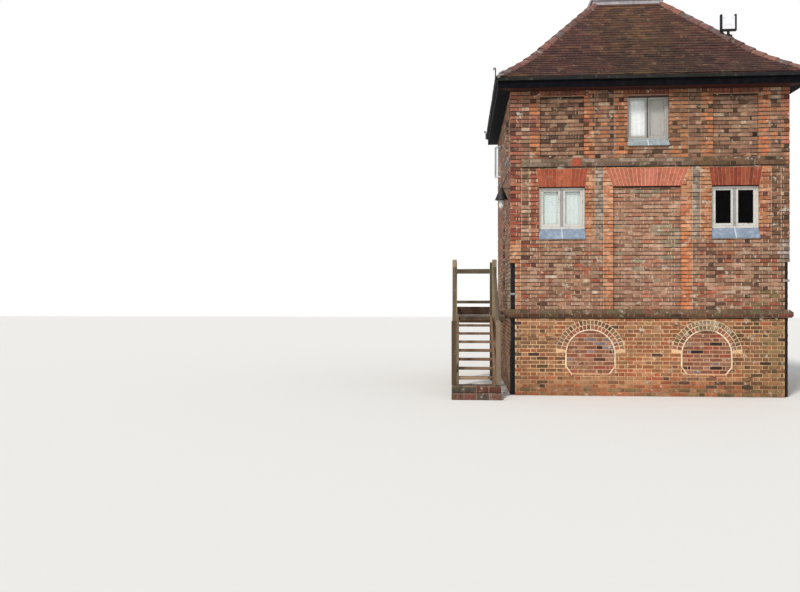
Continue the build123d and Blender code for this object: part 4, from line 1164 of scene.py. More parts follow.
def curtains():
    low, high = LOW_SILL + LOW_APRON + LOW_CURTAIN_SHORT, LOW_HEAD - LOW_CURTAIN_SHORT
    near, far = LOW_CURTAIN_APART, LOW_CURTAIN_APART + LOW_CURTAIN_WIDE
    curtain("low_curtain_left", -LOW_X - far, -LOW_X - near, low, high, curtain_cloth, 5, 0.006)
    curtain("low_curtain_right", -LOW_X + near, -LOW_X + far, low, high, curtain_cloth, 5, 0.006)
    low, high = UP_SILL + UP_APRON + UP_CURTAIN_SHORT, UP_HEAD - UP_CURTAIN_SHORT
    near, far = UP_CURTAIN_APART, UP_CURTAIN_APART + UP_CURTAIN_WIDE
    curtain("upper_curtain_left", -far, -near, low, high, brightened_upper_cloth, 4, 0.006)
    curtain("upper_curtain_right", near, far, low, high, blind_cloth, 3, 0.005)


def door():
    """Boarded door in its frame, with strap hinges and a latch ring, shut."""
    surround, leaf, iron = Gathered(), Gathered(), Gathered()
    y0, y1 = FRAME_FRONT, FRAME_BACK
    left, right = DOOR_X - DOOR_WIDE / 2 + LAP, DOOR_X + DOOR_WIDE / 2 - LAP
    near, far = left + DOOR_POST - LAP, right - DOOR_POST + LAP
    timber(surround, (left, y0, DOOR_FOOT), (left + DOOR_POST, y1, DOOR_HEAD), 2, DOOR_BLACK)
    timber(surround, (right - DOOR_POST, y0, DOOR_FOOT), (right, y1, DOOR_HEAD), 2, DOOR_BLACK)
    timber(surround, (near, y0, DOOR_HEAD - DOOR_POST), (far, y1, DOOR_HEAD), 0, DOOR_BLACK)
    timber(surround, (near, y0 - 0.02, DOOR_FOOT), (far, y1, DOOR_FOOT + 0.04), 0, THRESHOLD)
    a, b = left + DOOR_POST + 0.002, right - DOOR_POST - 0.002
    boards = 6
    step = (b - a) / boards
    y = y0 + 0.010
    for i in range(boards):
        low = (a + i * step + 0.0015, y + chance.uniform(0, 0.002), DOOR_FOOT + 0.043)
        high = (a + (i + 1) * step - 0.0015, y + 0.045, DOOR_HEAD - DOOR_POST - 0.003)
        timber(leaf, low, high, 2, pick(DOOR_BOARDS), 0.004)
    for z in (DOOR_FOOT + 0.30, DOOR_HEAD - 0.45):
        timber(leaf, (a + 0.02, y + 0.045, z), (b - 0.02, y + 0.070, z + 0.13), 0, DOOR_BLACK)
        timber(iron, (b - 0.50, y - 0.005, z + 0.045), (b - 0.005, y + 0.002, z + 0.085), 0, IRON, 0.002)
        for k in range(4):
            stud(iron, (b - 0.45 + k * 0.13, y - 0.005, z + 0.065), 0.009)
    latch = DOOR_FOOT + 1.08
    timber(iron, (a + 0.05, y - 0.006, latch - 0.06), (a + 0.09, y + 0.002, latch + 0.08), 2, IRON, 0.002)
    ring_handle(iron, (a + 0.07, y - 0.012, latch), 0.032, 0.005)
    surround.turned(3).piece("door_surround", black_boards, "door_paint", ("door_frame",))
    leaf.turned(3).piece("door_boards", black_boards, "door_paint", ("door_leaf",))
    iron.turned(3).piece("door_ironwork", black_iron, "black_iron")


def stud(into, centre, radius):
    """A domed nail head that faces outwards."""
    sides, rings = 10, 3
    x, y, z = centre
    points, faces = [], []
    for r in range(rings):
        t = (pi / 2) * r / rings
        wide = radius * cos(t)
        for k in range(sides):
            a = 2 * pi * k / sides
            points.append((x + wide * cos(a), y - 0.7 * radius * sin(t), z + wide * sin(a)))
    points += [(x, y - 0.7 * radius, z), (x, y + 0.004, z)]
    top, base = len(points) - 2, len(points) - 1
    for k in range(sides):
        m = (k + 1) % sides
        for r in range(0, (rings - 1) * sides, sides):
            faces.append((r + k, r + m, r + sides + m, r + sides + k))
        faces.append(((rings - 1) * sides + k, (rings - 1) * sides + m, top))
        faces.append((m, k, base))
    into.add(points, faces, IRON)


def ring_handle(into, centre, radius, thick):
    """A drop ring that hangs against the door."""
    sides, tube = 28, 8
    x, y, z = centre
    points, faces = [], []
    for k in range(sides):
        a = 2 * pi * k / sides
        here, after = k * tube, (k + 1) % sides * tube
        for j in range(tube):
            b = 2 * pi * j / tube
            r = radius + thick * cos(b)
            points.append((x + r * cos(a), y + thick * sin(b), z - radius + r * sin(a)))
            beside = (j + 1) % tube
            faces.append((here + j, after + j, after + beside, here + beside))
    into.add(points, faces, IRON)


# Roof

def roof_point(y):
    """Height and pitch of the roof's line at a distance y from the middle."""
    knee_y = TILE_FOOT_Y + FOOT_RUN
    knee_z = TILE_FOOT_Z + FOOT_RUN * tan(FOOT_PITCH)
    if y <= knee_y:
        return TILE_FOOT_Z + (y - TILE_FOOT_Y) * tan(FOOT_PITCH), FOOT_PITCH
    end_y = knee_y + BELL_RADIUS * (sin(MAIN_PITCH) - sin(FOOT_PITCH))
    if y >= end_y:
        end_z = knee_z + BELL_RADIUS * (cos(FOOT_PITCH) - cos(MAIN_PITCH))
        return end_z + (y - end_y) * tan(MAIN_PITCH), MAIN_PITCH
    angle = asin(sin(FOOT_PITCH) + (y - knee_y) / BELL_RADIUS)
    return knee_z + BELL_RADIUS * (cos(FOOT_PITCH) - cos(angle)), angle


def slope_stations():
    """Distances from the middle at which the tile courses begin, a gauge apart up the slope."""
    made = [TILE_FOOT_Y + 0.002]
    while made[-1] < -TOP_HALF - 0.02:
        made.append(made[-1] + TILE_GAUGE * cos(roof_point(made[-1])[1]))
    return made


TILE_FACES = [
    (0, 1, 3, 2), (2, 3, 5, 4), (7, 6, 8, 9), (9, 8, 10, 11), (6, 7, 1, 0), (4, 5, 11, 10), (0, 2, 8, 6),
    (2, 4, 10, 8), (3, 1, 7, 9), (5, 3, 9, 11),
]


def tile(into, x0, x1, y0, tone, sag):
    """A plain tile that lies on the slope, tail down, with a slight camber."""
    z0, pitch = roof_point(y0)
    run, rise = TILE_LONG * cos(pitch), TILE_LONG * sin(pitch)
    tail = TAIL_LIFT + chance.uniform(-0.002, 0.003) + sag
    head = HEAD_LIFT + sag
    twist = chance.uniform(-0.002, 0.002)
    rows = ((0.0, tail), (0.5, (tail + head) / 2 + 0.0015), (1.0, head))
    points = []
    slip = chance.uniform(-0.004, 0.002)
    for under in (0, TILE_THICK):
        for t, lift in rows:
            for x, side in ((x0, -1), (x1, 1)):
                h = lift - under + side * twist * (1 - t)
                reach = abs(y0 + t * run) - HIP_CLEAR
                y = y0 + t * run + slip - h * sin(pitch)
                z = z0 + t * rise + slip * tan(pitch) + h * cos(pitch)
                points.append((max(-reach, min(reach, x)), y, z))
    into.add(points, TILE_FACES, tone, own_place(points, 20))


def roof_light(x, high, front):
    """How light the tiles are at a place on a slope, and how green. The front has streaks down its middle."""
    low = max(0.0, 1 - 1.5 * high) * front
    light = (0.82 + 0.44 * high) * (1 - 0.10 * low) * (1 - 0.30 * low * exp(-((x - 0.7) / 0.9) ** 2))
    middle = exp(-((x - 0.1) / 0.8) ** 2) * front
    light *= 1 + 0.12 * middle * cos(4.8 * (x - 0.2))
    return light, (1 - 0.08 * middle, 1 + 0.14 * middle, 1 - 0.18 * middle)


def tiled_slope(quarter, name):
    """One slope's tiles, each course half a tile along, and a short course under the lowest. Tiles close to a
    hip carry painted shadow.
    """
    made = Gathered()
    stations = slope_stations()[:-1]
    for i, y0 in enumerate(stations):
        half = -y0
        limit = half - HIP_CLEAR
        x = -ceil(half / TILE_WIDE) * TILE_WIDE + (TILE_WIDE / 2 if i % 2 else 0) - TILE_WIDE
        while x < half:
            x0, x1 = x + 0.0015, x + TILE_WIDE - 0.0015
            x += TILE_WIDE
            if x1 < -limit + 0.03 or x0 > limit - 0.03:
                continue
            x0, x1 = max(x0, -limit), min(x1, limit)
            sag = 0.003 * sin(x * 1.3 + i * 0.21 + quarter) + 0.003 * sin(x * 0.7 - i * 0.33)
            tone = pick(TILES, 0.16)
            light, olive = roof_light(x, i / len(stations), quarter == 0)
            # Tiles beside a hip are darkened: painted shadow along the hip tiles
            if min(limit - x0, limit + x1) < 0.19:
                light *= 0.72
            tile(made, x0, x1, y0, tuple(c * light * tint for c, tint in zip(tone, olive)), sag)
    y0 = TILE_FOOT_Y + 0.001
    z0, pitch = roof_point(y0)
    for x in np.arange(-2.80, 2.80, TILE_WIDE):
        points = []
        for drop in (0.012, 0.024):
            for t in (0.0, 0.16):
                for px in (x + 0.082, x + TILE_WIDE + 0.078):
                    z = z0 + TAIL_LIFT + t * sin(pitch) - drop / cos(pitch)
                    points.append((min(px, -TILE_FOOT_Y - 0.03), y0 + t * cos(pitch), z))
        faces = [(0, 1, 3, 2), (5, 4, 6, 7), (4, 5, 1, 0), (6, 2, 3, 7), (0, 2, 6, 4), (3, 1, 5, 7)]
        made.add(points, faces, pick(TILES))
    made.turned(quarter).piece(name, roof_clay, "clay_tile")


HIP_ACROSS = np.array([1, -1, 0]) / sqrt(2)
HIP_MORTAR, FOOT_MORTAR = shade(168, 150, 130), shade(150, 144, 134)


def hip_round(into, y, tone):
    """One half-round hip tile, its wide end down the hip, over its mortar."""
    z, pitch = roof_point(y)
    hip_pitch = atan2(tan(pitch), sqrt(2))
    along = np.array([cos(hip_pitch) / sqrt(2), cos(hip_pitch) / sqrt(2), sin(hip_pitch)])
    up = np.cross(HIP_ACROSS, along)
    up = up if up[2] > 0 else -up
    base = np.array([y, y, z - HIP_TILE_SINK])
    steps, arc = 12, radians(100)
    rows = (
        (0.0, HIP_TILE_RADIUS), (0.012, HIP_TILE_RADIUS + 0.003), (0.05, HIP_TILE_RADIUS),
        (HIP_TILE_LONG, HIP_TILE_RADIUS - 0.016),
    )
    lift = chance.uniform(-0.002, 0.003)
    yaw = chance.uniform(-0.02, 0.02)
    turns = [-arc + 2 * arc * k / steps for k in range(steps + 1)]
    points = []
    for skin in (0.0, 0.016):
        for s, radius in rows:
            r, start = radius - skin, base + along * s
            points += [start + HIP_ACROSS * (r * sin(t) + yaw * s) + up * (r * cos(t) + lift) for t in turns]
    n, m = steps + 1, len(rows)
    skin = m * n
    faces = []
    for a in range(0, (m - 1) * n, n):
        for k in range(a, a + steps):
            faces += [(k, k + 1, k + n + 1, k + n), (k + skin + n, k + skin + n + 1, k + skin + 1, k + skin)]
        b = a + steps
        faces += [(a, a + n, a + n + skin, a + skin), (b + n, b, b + skin, b + n + skin)]
    for k in range(steps):
        a = (m - 1) * n + k
        faces += [(k + 1, k, k + skin, k + 1 + skin), (a, a + 1, a + 1 + skin, a + skin)]
    facing = np.dot(np.cross(points[1] - points[0], points[n] - points[0]), np.array(points[0]) - base)
    into.add(points, flipped(faces) if facing < 0 else faces, tone, own_place(points, 20))
    r = HIP_TILE_RADIUS - 0.024
    mortar = []
    for s in (0.018, HIP_TILE_LONG - 0.02):
        mortar += [base + along * s + HIP_ACROSS * r * sin(t) + up * r * cos(t) for t in turns]
    faces = sleeve(n, 2)
    into.add(mortar, flipped(faces) if facing < 0 else faces, HIP_MORTAR)


def hip_foot(into, y_top):
    """The lump of grey mortar that fills the hip below its lowest tile."""
    steps, rows, arc = 10, 4, radians(92)
    start = TILE_FOOT_Y + 0.014
    points = []
    for r in range(rows):
        y = start + (y_top + 0.02 - start) * r / (rows - 1)
        middle = np.array([y, y, roof_point(y)[0] - 0.022])
        radius = 0.052 + 0.034 * r / (rows - 1)
        for k in range(steps + 1):
            t = -arc + 2 * arc * k / steps
            rough = radius * chance.uniform(0.94, 1.05)
            points.append(middle + HIP_ACROSS * rough * sin(t) + np.array([0, 0, rough * cos(t)]))
    n = steps + 1
    faces = sleeve(n, rows)
    outwards = np.cross(points[1] - points[0], points[n] - points[0])
    if np.dot(outwards, points[n // 2] - np.array([0, 0, 5.5])) <= 0:
        faces = flipped(faces)
    into.add(points, faces, FOOT_MORTAR)


def hips():
    whole = Gathered()
    for quarter in range(4):
        hip = Gathered()
        y = TILE_FOOT_Y + HIP_FOOT
        hip_foot(hip, y)
        while y < -TOP_HALF - HIP_TILE_LONG / 4:
            hip_round(hip, y, pick(HIP_TILES, 0.12))
            hip_pitch = atan2(tan(roof_point(y)[1]), sqrt(2))
            y += (HIP_TILE_LONG - HIP_TILE_LAP) * cos(hip_pitch) / sqrt(2)
        whole.take(hip.turned(quarter))
    whole.piece("hip_rounds", hip_clay, "clay_tile", ("hip_tiles",))


# Outside stair

OAK = [(4, 120, 104, 84), (3, 106, 92, 76), (3, 130, 114, 94), (1, 94, 76, 62)]
OAK_PALE = [(4, 166, 146, 114), (3, 152, 132, 104)]
OAK_DARK = [(3, 122, 98, 78), (3, 104, 84, 68), (2, 138, 108, 84)]
TREAD_OAK = [(4, 150, 122, 98), (3, 136, 106, 84), (2, 164, 136, 110), (1, 112, 86, 68)]
OAK_RED = [(3, 96, 68, 54), (2, 82, 58, 48)]
STAIR_LEFT, STAIR_RIGHT = -3.595, -2.945
STRINGER, POST, RAIL, POST_TOP = 0.045, 0.095, 0.045, 2.680
STAIR_FOOT, LANDING_Y, LANDING_END = -2.950, -1.235, 0.265
FOOT_Z, RISE, GOING, RISES = 0.220, 0.1575, 0.245, 8
TREAD_THICK, DECK, DECK_THICK = 0.048, 1.480, 0.038
SUNK_TREADS = (4.0, -2.0, 1.0)
RAIL_LEVELS = ((2.42, 2.53), (1.74, 1.81))
SLOPE_FOOT, SLOPE_HEAD, FOOT_POST_TOP = (-2.875, 1.392), (-1.225, 2.493), 1.440
STAIR_SIDES = ((-1, "left", STAIR_LEFT, OAK), (1, "right", STAIR_RIGHT, OAK_DARK))
STAIR_PITCH = 0.57
STEPS_LEFT, STEPS_RIGHT, STEP_LONG, STEP_DEEP = -3.735, -2.805, 0.225, 0.075
BRICK_STEPS = ((0.0, 0.110, -3.410), (0.110, 0.220, -3.180))


def board(into, low, high, along, palette=OAK, wear=0.002, tilt=None):
    timber(into, low, high, along, pick(palette), 0.005, wear, tilt)


def tread_boards():
    """Two boards to a tread. The lowest treads have sunk a little askew."""
    made = Gathered()
    for i in range(RISES - 1):
        y = STAIR_FOOT + i * GOING
        z = FOOT_Z + (i + 1) * RISE
        lean = SUNK_TREADS[i] if i < len(SUNK_TREADS) else chance.uniform(-0.8, 0.8)
        tilt = np.array(Matrix.Rotation(radians(lean), 3, "X"))
        x1 = STAIR_RIGHT - (0.0 if i else 0.09)
        board(made, (STAIR_LEFT, y, z - TREAD_THICK), (x1, y + 0.108, z), 0, TREAD_OAK, tilt=tilt)
        board(made, (STAIR_LEFT, y + 0.114, z - TREAD_THICK), (STAIR_RIGHT, y + 0.225, z), 0, TREAD_OAK)
    made.piece_at(0, "tread_boards", "oak", ("stair_treads",))


def landing_boards():
    made = Gathered()
    left, right, under = STAIR_LEFT - STRINGER, -HALF - 0.006, DECK - DECK_THICK
    count = 10
    start = LANDING_Y + 0.01
    step = (LANDING_END - start) / count
    for i in range(count):
        y = start + i * step
        board(made, (left, y + 0.003, under), (right, y + step - 0.003, DECK), 0, wear=0.0015)
    for y, high in ((start, 0.050), (LANDING_END - 0.06, 0.140)):
        board(made, (left, y, under - high), (right, y + 0.06, under), 0, OAK_DARK)
    made.piece_at(0, "landing_boards", "oak", ("landing",))


def post_span(side, inner):
    """Where a post stands outside the stair's side board."""
    return sorted((inner + side * STRINGER, inner + side * (STRINGER + POST)))


def stair_sides():
    """Side board, landing posts and sloping rail on each side, and the short posts at the foot."""
    for side, name, inner, palette in STAIR_SIDES:
        a, b = sorted((inner, inner + side * STRINGER))
        made = Gathered()
        stringer_board(made, a, b, pick(palette))
        made.piece_at(0, "stringer_" + name, "oak", ("stair_stringer_" + name,))
        a, b = post_span(side, inner)
        posts = Gathered()
        board(posts, (a, LANDING_Y + 0.01, 0), (b, LANDING_Y + 0.105, POST_TOP), 2, OAK_PALE)
        board(posts, (a, LANDING_END - POST, 0), (b, LANDING_END, POST_TOP), 2)
        posts.piece_at(0, "posts_" + name, "oak", ("landing_posts_" + name,))
        rail = Gathered()
        middle = (a + b) / 2
        bar_between(rail, (middle, *SLOPE_FOOT), (middle, *SLOPE_HEAD), 0.065, 0.062, pick(OAK), 0.006)
        rail.piece_at(0, "sloping_rail_" + name, "oak", ("handrail_" + name,))
    made = Gathered()
    for side, name, inner, palette in STAIR_SIDES:
        a, b = post_span(side, inner)
        board(made, (a, STAIR_FOOT - 0.02, FOOT_Z), (b, STAIR_FOOT + 0.075, FOOT_POST_TOP), 2)
    made.piece_at(0, "foot_posts", "oak", ("stair_newels",))


def landing_rails():
    """Two rails at the landing's far end and two along its outer side, and a board at the far end's foot."""
    made = Gathered()
    y = LANDING_END - (POST + RAIL) / 2
    a, b = STAIR_LEFT - STRINGER, STAIR_RIGHT + STRINGER
    for low, high in RAIL_LEVELS:
        board(made, (a, y, low), (b, y + RAIL, high), 0)
    board(made, (a, y, DECK + 0.002), (b, y + RAIL / 2, 1.67), 0, OAK_RED)
    made.piece_at(0, "end_rails", "oak", ("landing_end_rails",))
    made = Gathered()
    x = STAIR_LEFT - STRINGER - (POST + RAIL) / 2
    for low, high in RAIL_LEVELS:
        board(made, (x, LANDING_Y + 0.105, low), (x + RAIL, LANDING_END - POST, high), 1)
    made.piece_at(0, "side_rails", "oak", ("landing_side_rails",))


def stringer_board(into, x0, x1, tone):
    """The stair's sloping side board, level at the foot and plumb at the landing."""
    slope = RISE / GOING
    y0, y1 = STAIR_FOOT - 0.02, LANDING_Y + 0.01
    top = FOOT_Z + RISE + 0.06
    drop = 0.230 * hypot(1, slope)
    head = top + (y1 - y0) * slope
    foot = y0 + (drop - (top - FOOT_Z)) / slope
    outline = [(y0, FOOT_Z), (foot, FOOT_Z), (y1, head - drop), (y1, head - 0.06), (y0, top)]
    edge = 0.004
    inner = shrunk(outline, edge)
    rings = ((x0, inner), (x0 + edge, outline), (x1 - edge, outline), (x1, inner))
    points = [(x, y, z) for x, ring in rings for y, z in ring]
    grain = [(y * cos(STAIR_PITCH) + z * sin(STAIR_PITCH), z, x) for x, y, z in points]
    into.add(points, sleeve(len(outline), len(rings)), tone, grain)


def brick_steps():
    """Two steps of bricks on edge at the stair's foot, each on a slab of mortar."""
    made = Gathered()
    left, right = STEPS_LEFT, STEPS_RIGHT
    count = round((right - left) / STEP_LONG)
    step = (right - left) / count
    back = STAIR_FOOT + GOING
    for z0, z1, front in BRICK_STEPS:
        slab_low, slab_high = (left + 0.006, front + 0.006, z0), (right - 0.006, back - 0.006, z1 - 0.006)
        timber(made, slab_low, slab_high, 0, shade(150, 132, 112))
        rows = round((back - front) / STEP_DEEP)
        for row in range(rows):
            near, far = front + (back - front) * row / rows, front + (back - front) * (row + 1) / rows
            x = left - (step / 2 if row % 2 else 0.0)
            while x < right - 0.02:
                a, b = max(x, left) + 0.004, min(x + step, right) - 0.004
                x += step
                if b - a < 0.03:
                    continue
                low = (a, near + (0 if row == 0 else 0.004), z0 + 0.001)
                high = (b, far - 0.004, z1 - chance.uniform(0.0005, 0.005))
                timber(made, low, high, 0, pick(STEP, 0.14), 0.006, 0.0018)
    made.piece_at(0, "step_bricks", "weathered_brick", ("brick_steps",))


# Iron and lamps

def guard_straps():
    """A pale strap over each iron angle, round the corner."""
    made = Gathered()
    front, tone = -HALF - 0.004, shade(150, 150, 152)
    for side, z in ((-1, 1.95), (1, 2.20)):
        x = side * HALF
        low, high = z - 0.02, z + 0.02
        a, b = sorted((x - side * 0.001, x - side * (GUARD + 0.004)))
        timber(made, (a, front, low), (b, -HALF + 0.003, high), 0, tone, 0.002)
        a, b = sorted((x + side * 0.004, x - side * 0.003))
        timber(made, (a, front, low), (b, -HALF + GUARD + 0.004, high), 1, tone, 0.002)
    made.piece_at(0, "guard_straps", "black_iron")


LANTERN, LANTERN_RADIUS, BOWL_RADIUS = (-2.755, -2.200, 3.810), 0.130, 0.052


def lantern():
    """Hooded lamp on the left wall, its arm and the sloping stay over it."""
    x, y, z = LANTERN
    r = LANTERN_RADIUS
    metal = Gathered()
    tone = shade(34, 35, 36)
    hood = [
        (0.0, 0.004), (0.055, 0.004), (r - 0.006, 0.002), (r, 0.0), (r, 0.006), (r * 0.93, 0.022),
        (r * 0.74, 0.085), (r * 0.52, 0.150), (0.046, 0.192), (0.042, 0.200), (0.042, 0.236),
        (0.034, 0.241), (0.0, 0.242),
    ]
    turned_shape(metal, hood, (x, y, z), tone, 40)
    bar_between(metal, (x, y, z + 0.220), (-HALF - 0.004, y, z + 0.220), 0.020, 0.010, tone, 0.002)
    bar_between(metal, (x, y, z + 0.237), (-HALF - 0.006, y, z + 0.585), 0.012, 0.012, tone, 0.002)
    for half, low, high in ((0.042, 0.158, 0.284), (0.021, 0.548, 0.632)):
        plate_low, plate_high = (-HALF - 0.008, y - half, z + low), (-HALF - 0.0005, y + half, z + high)
        timber(metal, plate_low, plate_high, 2, tone, 0.002)
    metal.piece_at(0, "lantern_hood", "black_iron", ("lantern",), smooth=True)
    globe = Gathered()
    g = BOWL_RADIUS
    bowl = [(0.0, -0.1715)]
    bowl += [(g * sin(t), -0.1144 - 0.057 * cos(t)) for t in (0.25, 0.5, 0.8, 1.1, 1.4)]
    bowl += [(g, -0.10), (g, -0.02), (g * 0.9, -0.004), (g * 0.7, 0.001), (0.0, 0.001)]
    turned_shape(globe, bowl, (x, y, z), shade(214, 216, 210), 32)
    globe.piece_at(0, "lantern_bowl", "lamp_glass", ("lantern_globe",), smooth=True)


# Materials

MIX_COLOUR_A, MIX_COLOUR_B, MIX_COLOUR_OUT = 6, 7, 2


class Finish:
    """Places shader nodes and joins them, in a group or in a material that has a shader."""

    def __init__(self, tree, shader=None):
        self.tree = tree
        self.shader = shader
        self.column = 0

    def node(self, kind, **values):
        made = self.tree.nodes.new(kind)
        made.location = (self.column * 180 - 1200, 0)
        self.column += 1
        for key, value in values.items():
            setattr(made, key, value)
        return made

    def join(self, source, target):
        self.tree.links.new(source, target)

    def put(self, target, value):
        if isinstance(value, bpy.types.NodeSocket):
            self.join(value, target)
        else:
            target.default_value = value

    def noise(self, where, scale, detail=3.0, rough=0.55, stretch=None):
        if stretch:
            mapping = self.node("ShaderNodeMapping")
            self.put(mapping.inputs["Vector"], where)
            mapping.inputs["Scale"].default_value = stretch
            where = mapping.outputs["Vector"]
        made = self.node("ShaderNodeTexNoise")
        self.put(made.inputs["Vector"], where)
        self.put(made.inputs["Scale"], scale)
        made.inputs["Detail"].default_value = detail
        made.inputs["Roughness"].default_value = rough
        return made.outputs["Fac"]

    def between(self, value, low, high, to_low=0.0, to_high=1.0):
        made = self.node("ShaderNodeMapRange")
        self.put(made.inputs["Value"], value)
        self.put(made.inputs["From Min"], low)
        self.put(made.inputs["From Max"], high)
        self.put(made.inputs["To Min"], to_low)
        self.put(made.inputs["To Max"], to_high)
        return made.outputs["Result"]

    def maths(self, how, a, b=0.0):
        made = self.node("ShaderNodeMath", operation=how)
        self.put(made.inputs[0], a)
        self.put(made.inputs[1], b)
        return made.outputs[0]

    def plus(self, a, b):
        return self.maths("ADD", a, b)

    def minus(self, a, b):
        return self.maths("SUBTRACT", a, b)

    def times(self, a, b):
        return self.maths("MULTIPLY", a, b)

    def mixed(self, share, a, b, how="MIX"):
        made = self.node("ShaderNodeMix", data_type="RGBA", blend_type=how)
        self.put(made.inputs["Factor"], share)
        self.put(made.inputs[MIX_COLOUR_A], a)
        self.put(made.inputs[MIX_COLOUR_B], b)
        return made.outputs[MIX_COLOUR_OUT]

    def tinted(self, a, b):
        return self.mixed(1.0, a, b, "MULTIPLY")

    def part_of(self, vector, axis):
        made = self.node("ShaderNodeSeparateXYZ")
        self.join(vector, made.inputs[0])
        return made.outputs[axis]

    def attribute(self, name, output):
        made = self.node("ShaderNodeAttribute")
        made.attribute_name = name
        return made.outputs[output]

    def tone(self):
        """The tone that the mesh carries brick by brick and board by board."""
        return self.attribute("tone", "Color")

    def own_grain(self):
        """A place of its own for every small solid, so that no two have the same marks."""
        return self.attribute("grain", "Vector")

    def geometry(self, output):
        return self.node("ShaderNodeNewGeometry").outputs[output]

    def place(self):
        return self.geometry("Position")

    def feed(self, name, source):
        self.join(source, self.shader.inputs[name])

    def bumped(self, height, strength, distance):
        bump = self.node("ShaderNodeBump")
        bump.inputs["Strength"].default_value = strength
        bump.inputs["Distance"].default_value = distance
        self.join(height, bump.inputs["Height"])
        self.feed("Normal", bump.outputs["Normal"])

    def group(self, group, **values):
        made = self.node("ShaderNodeGroup")
        made.node_tree = group
        for key, value in values.items():
            self.put(made.inputs[key.replace("_", " ")], value)
        return made.outputs


def new_group(name, inputs, outputs):
    """A node group with named inputs and outputs: its tree, its nodes, what it is given and what it makes."""
    tree = bpy.data.node_groups.new(name, "ShaderNodeTree")
    for label, kind, value in inputs:
        socket = tree.interface.new_socket(label, in_out="INPUT", socket_type=kind)
        if value is not None:
            socket.default_value = value
    for label, kind in outputs:
        tree.interface.new_socket(label, in_out="OUTPUT", socket_type=kind)
    given = tree.nodes.new("NodeGroupInput").outputs
    made = tree.nodes.new("NodeGroupOutput").inputs
    return tree, Finish(tree), given, made


COLOUR, VALUE, VECTOR = "NodeSocketColor", "NodeSocketFloat", "NodeSocketVector"


def rgba(red, green, blue):
    return (*shade(red, green, blue), 1.0)


PALE_LIME, DULL_MOSS = (206, 196, 178), (96, 94, 58)


def weather_group():
    """Soot, pale lime and green growth that lie over a surface in patches."""
    tree, f, given, made = new_group(
        "Weathering",
        [
            ("Color", COLOUR, None), ("Place", VECTOR, None), ("Soot", VALUE, 0.3), ("Lime", VALUE, 0.2),
            ("Moss", VALUE, 0.1), ("Soot Color", COLOUR, rgba(58, 46, 40)),
            ("Lime Color", COLOUR, rgba(*PALE_LIME)), ("Moss Color", COLOUR, rgba(*DULL_MOSS)),
        ],
        [("Color", COLOUR), ("Mask", VALUE)],
    )
    place = given["Place"]
    broad = f.noise(place, 2.2, 4.0, 0.6)
    close = f.noise(place, 16.0, 4.0, 0.65)
    fine = f.noise(place, 70.0, 3.0, 0.6)
    soot = f.times(f.times(f.between(broad, 0.42, 0.72), f.between(close, 0.35, 0.65)), given["Soot"])
    colour = f.mixed(soot, given["Color"], given["Soot Color"])
    spots = f.plus(f.times(f.noise(place, 7.5, 3.0, 0.6), 0.75), f.times(fine, 0.25))
    lime = f.times(f.between(spots, 0.60, 0.635), given["Lime"])
    colour = f.mixed(lime, colour, given["Lime Color"])
    growth = f.times(f.noise(place, 3.6, 4.0, 0.65), f.noise(place, 24.0, 3.0, 0.6))
    moss = f.times(f.between(growth, 0.27, 0.36), given["Moss"])
    f.join(f.mixed(moss, colour, given["Moss Color"]), made["Color"])
    f.join(f.maths("MAXIMUM", lime, moss), made["Mask"])
    return tree


def grit_group():
    """Sand and small pits of fired clay or mortar."""
    tree, f, given, made = new_group(
        "Grit",
        [("Place", VECTOR, None), ("Scale", VALUE, 160.0), ("Pits", VALUE, 0.5)],
        [("Height", VALUE), ("Tint", VALUE)],
    )
    sand = f.noise(given["Place"], given["Scale"], 3.0, 0.7)
    lumps = f.noise(given["Place"], f.times(given["Scale"], 0.22), 3.0, 0.6)
    pits = f.times(f.between(lumps, 0.34, 0.44, 1.0, 0.0), given["Pits"])
    f.join(f.minus(f.plus(f.times(sand, 0.4), f.times(lumps, 0.6)), pits), made["Height"])
    f.join(f.between(f.plus(sand, lumps), 0.7, 1.3, 0.82, 1.14), made["Tint"])
    return tree


def grain_group():
    """Long grain, checks and a few knots of old timber."""
    tree, f, given, made = new_group(
        "Timber Grain",
        [("Grain", VECTOR, None), ("Checks", VALUE, 0.5)],
        [("Tint", VALUE), ("Height", VALUE), ("Crack", VALUE)],
    )
    fibres = f.noise(given["Grain"], 1.0, 5.0, 0.65, (3.0, 90.0, 90.0))
    figure = f.noise(given["Grain"], 1.0, 3.0, 0.5, (1.2, 22.0, 22.0))
    lines = f.noise(given["Grain"], 1.0, 2.0, 0.5, (1.6, 60.0, 60.0))
    crack = f.times(f.between(lines, 0.63, 0.67), given["Checks"])
    tint = f.plus(f.times(fibres, 0.5), f.times(figure, 0.5))
    f.join(f.between(tint, 0.35, 0.65, 0.72, 1.22), made["Tint"])
    f.join(f.minus(fibres, crack), made["Height"])
    f.join(crack, made["Crack"])
    return tree


def new_finish(name, rough, metal=0.0, specular=0.3):
    material = bpy.data.materials.new(name)
    material.use_nodes = True
    tree = material.node_tree
    shader = next(n for n in tree.nodes if n.type == "BSDF_PRINCIPLED")
    shader.inputs["Roughness"].default_value = rough
    shader.inputs["Metallic"].default_value = metal
    shader.inputs["Specular IOR Level"].default_value = specular
    return material, Finish(tree, shader)


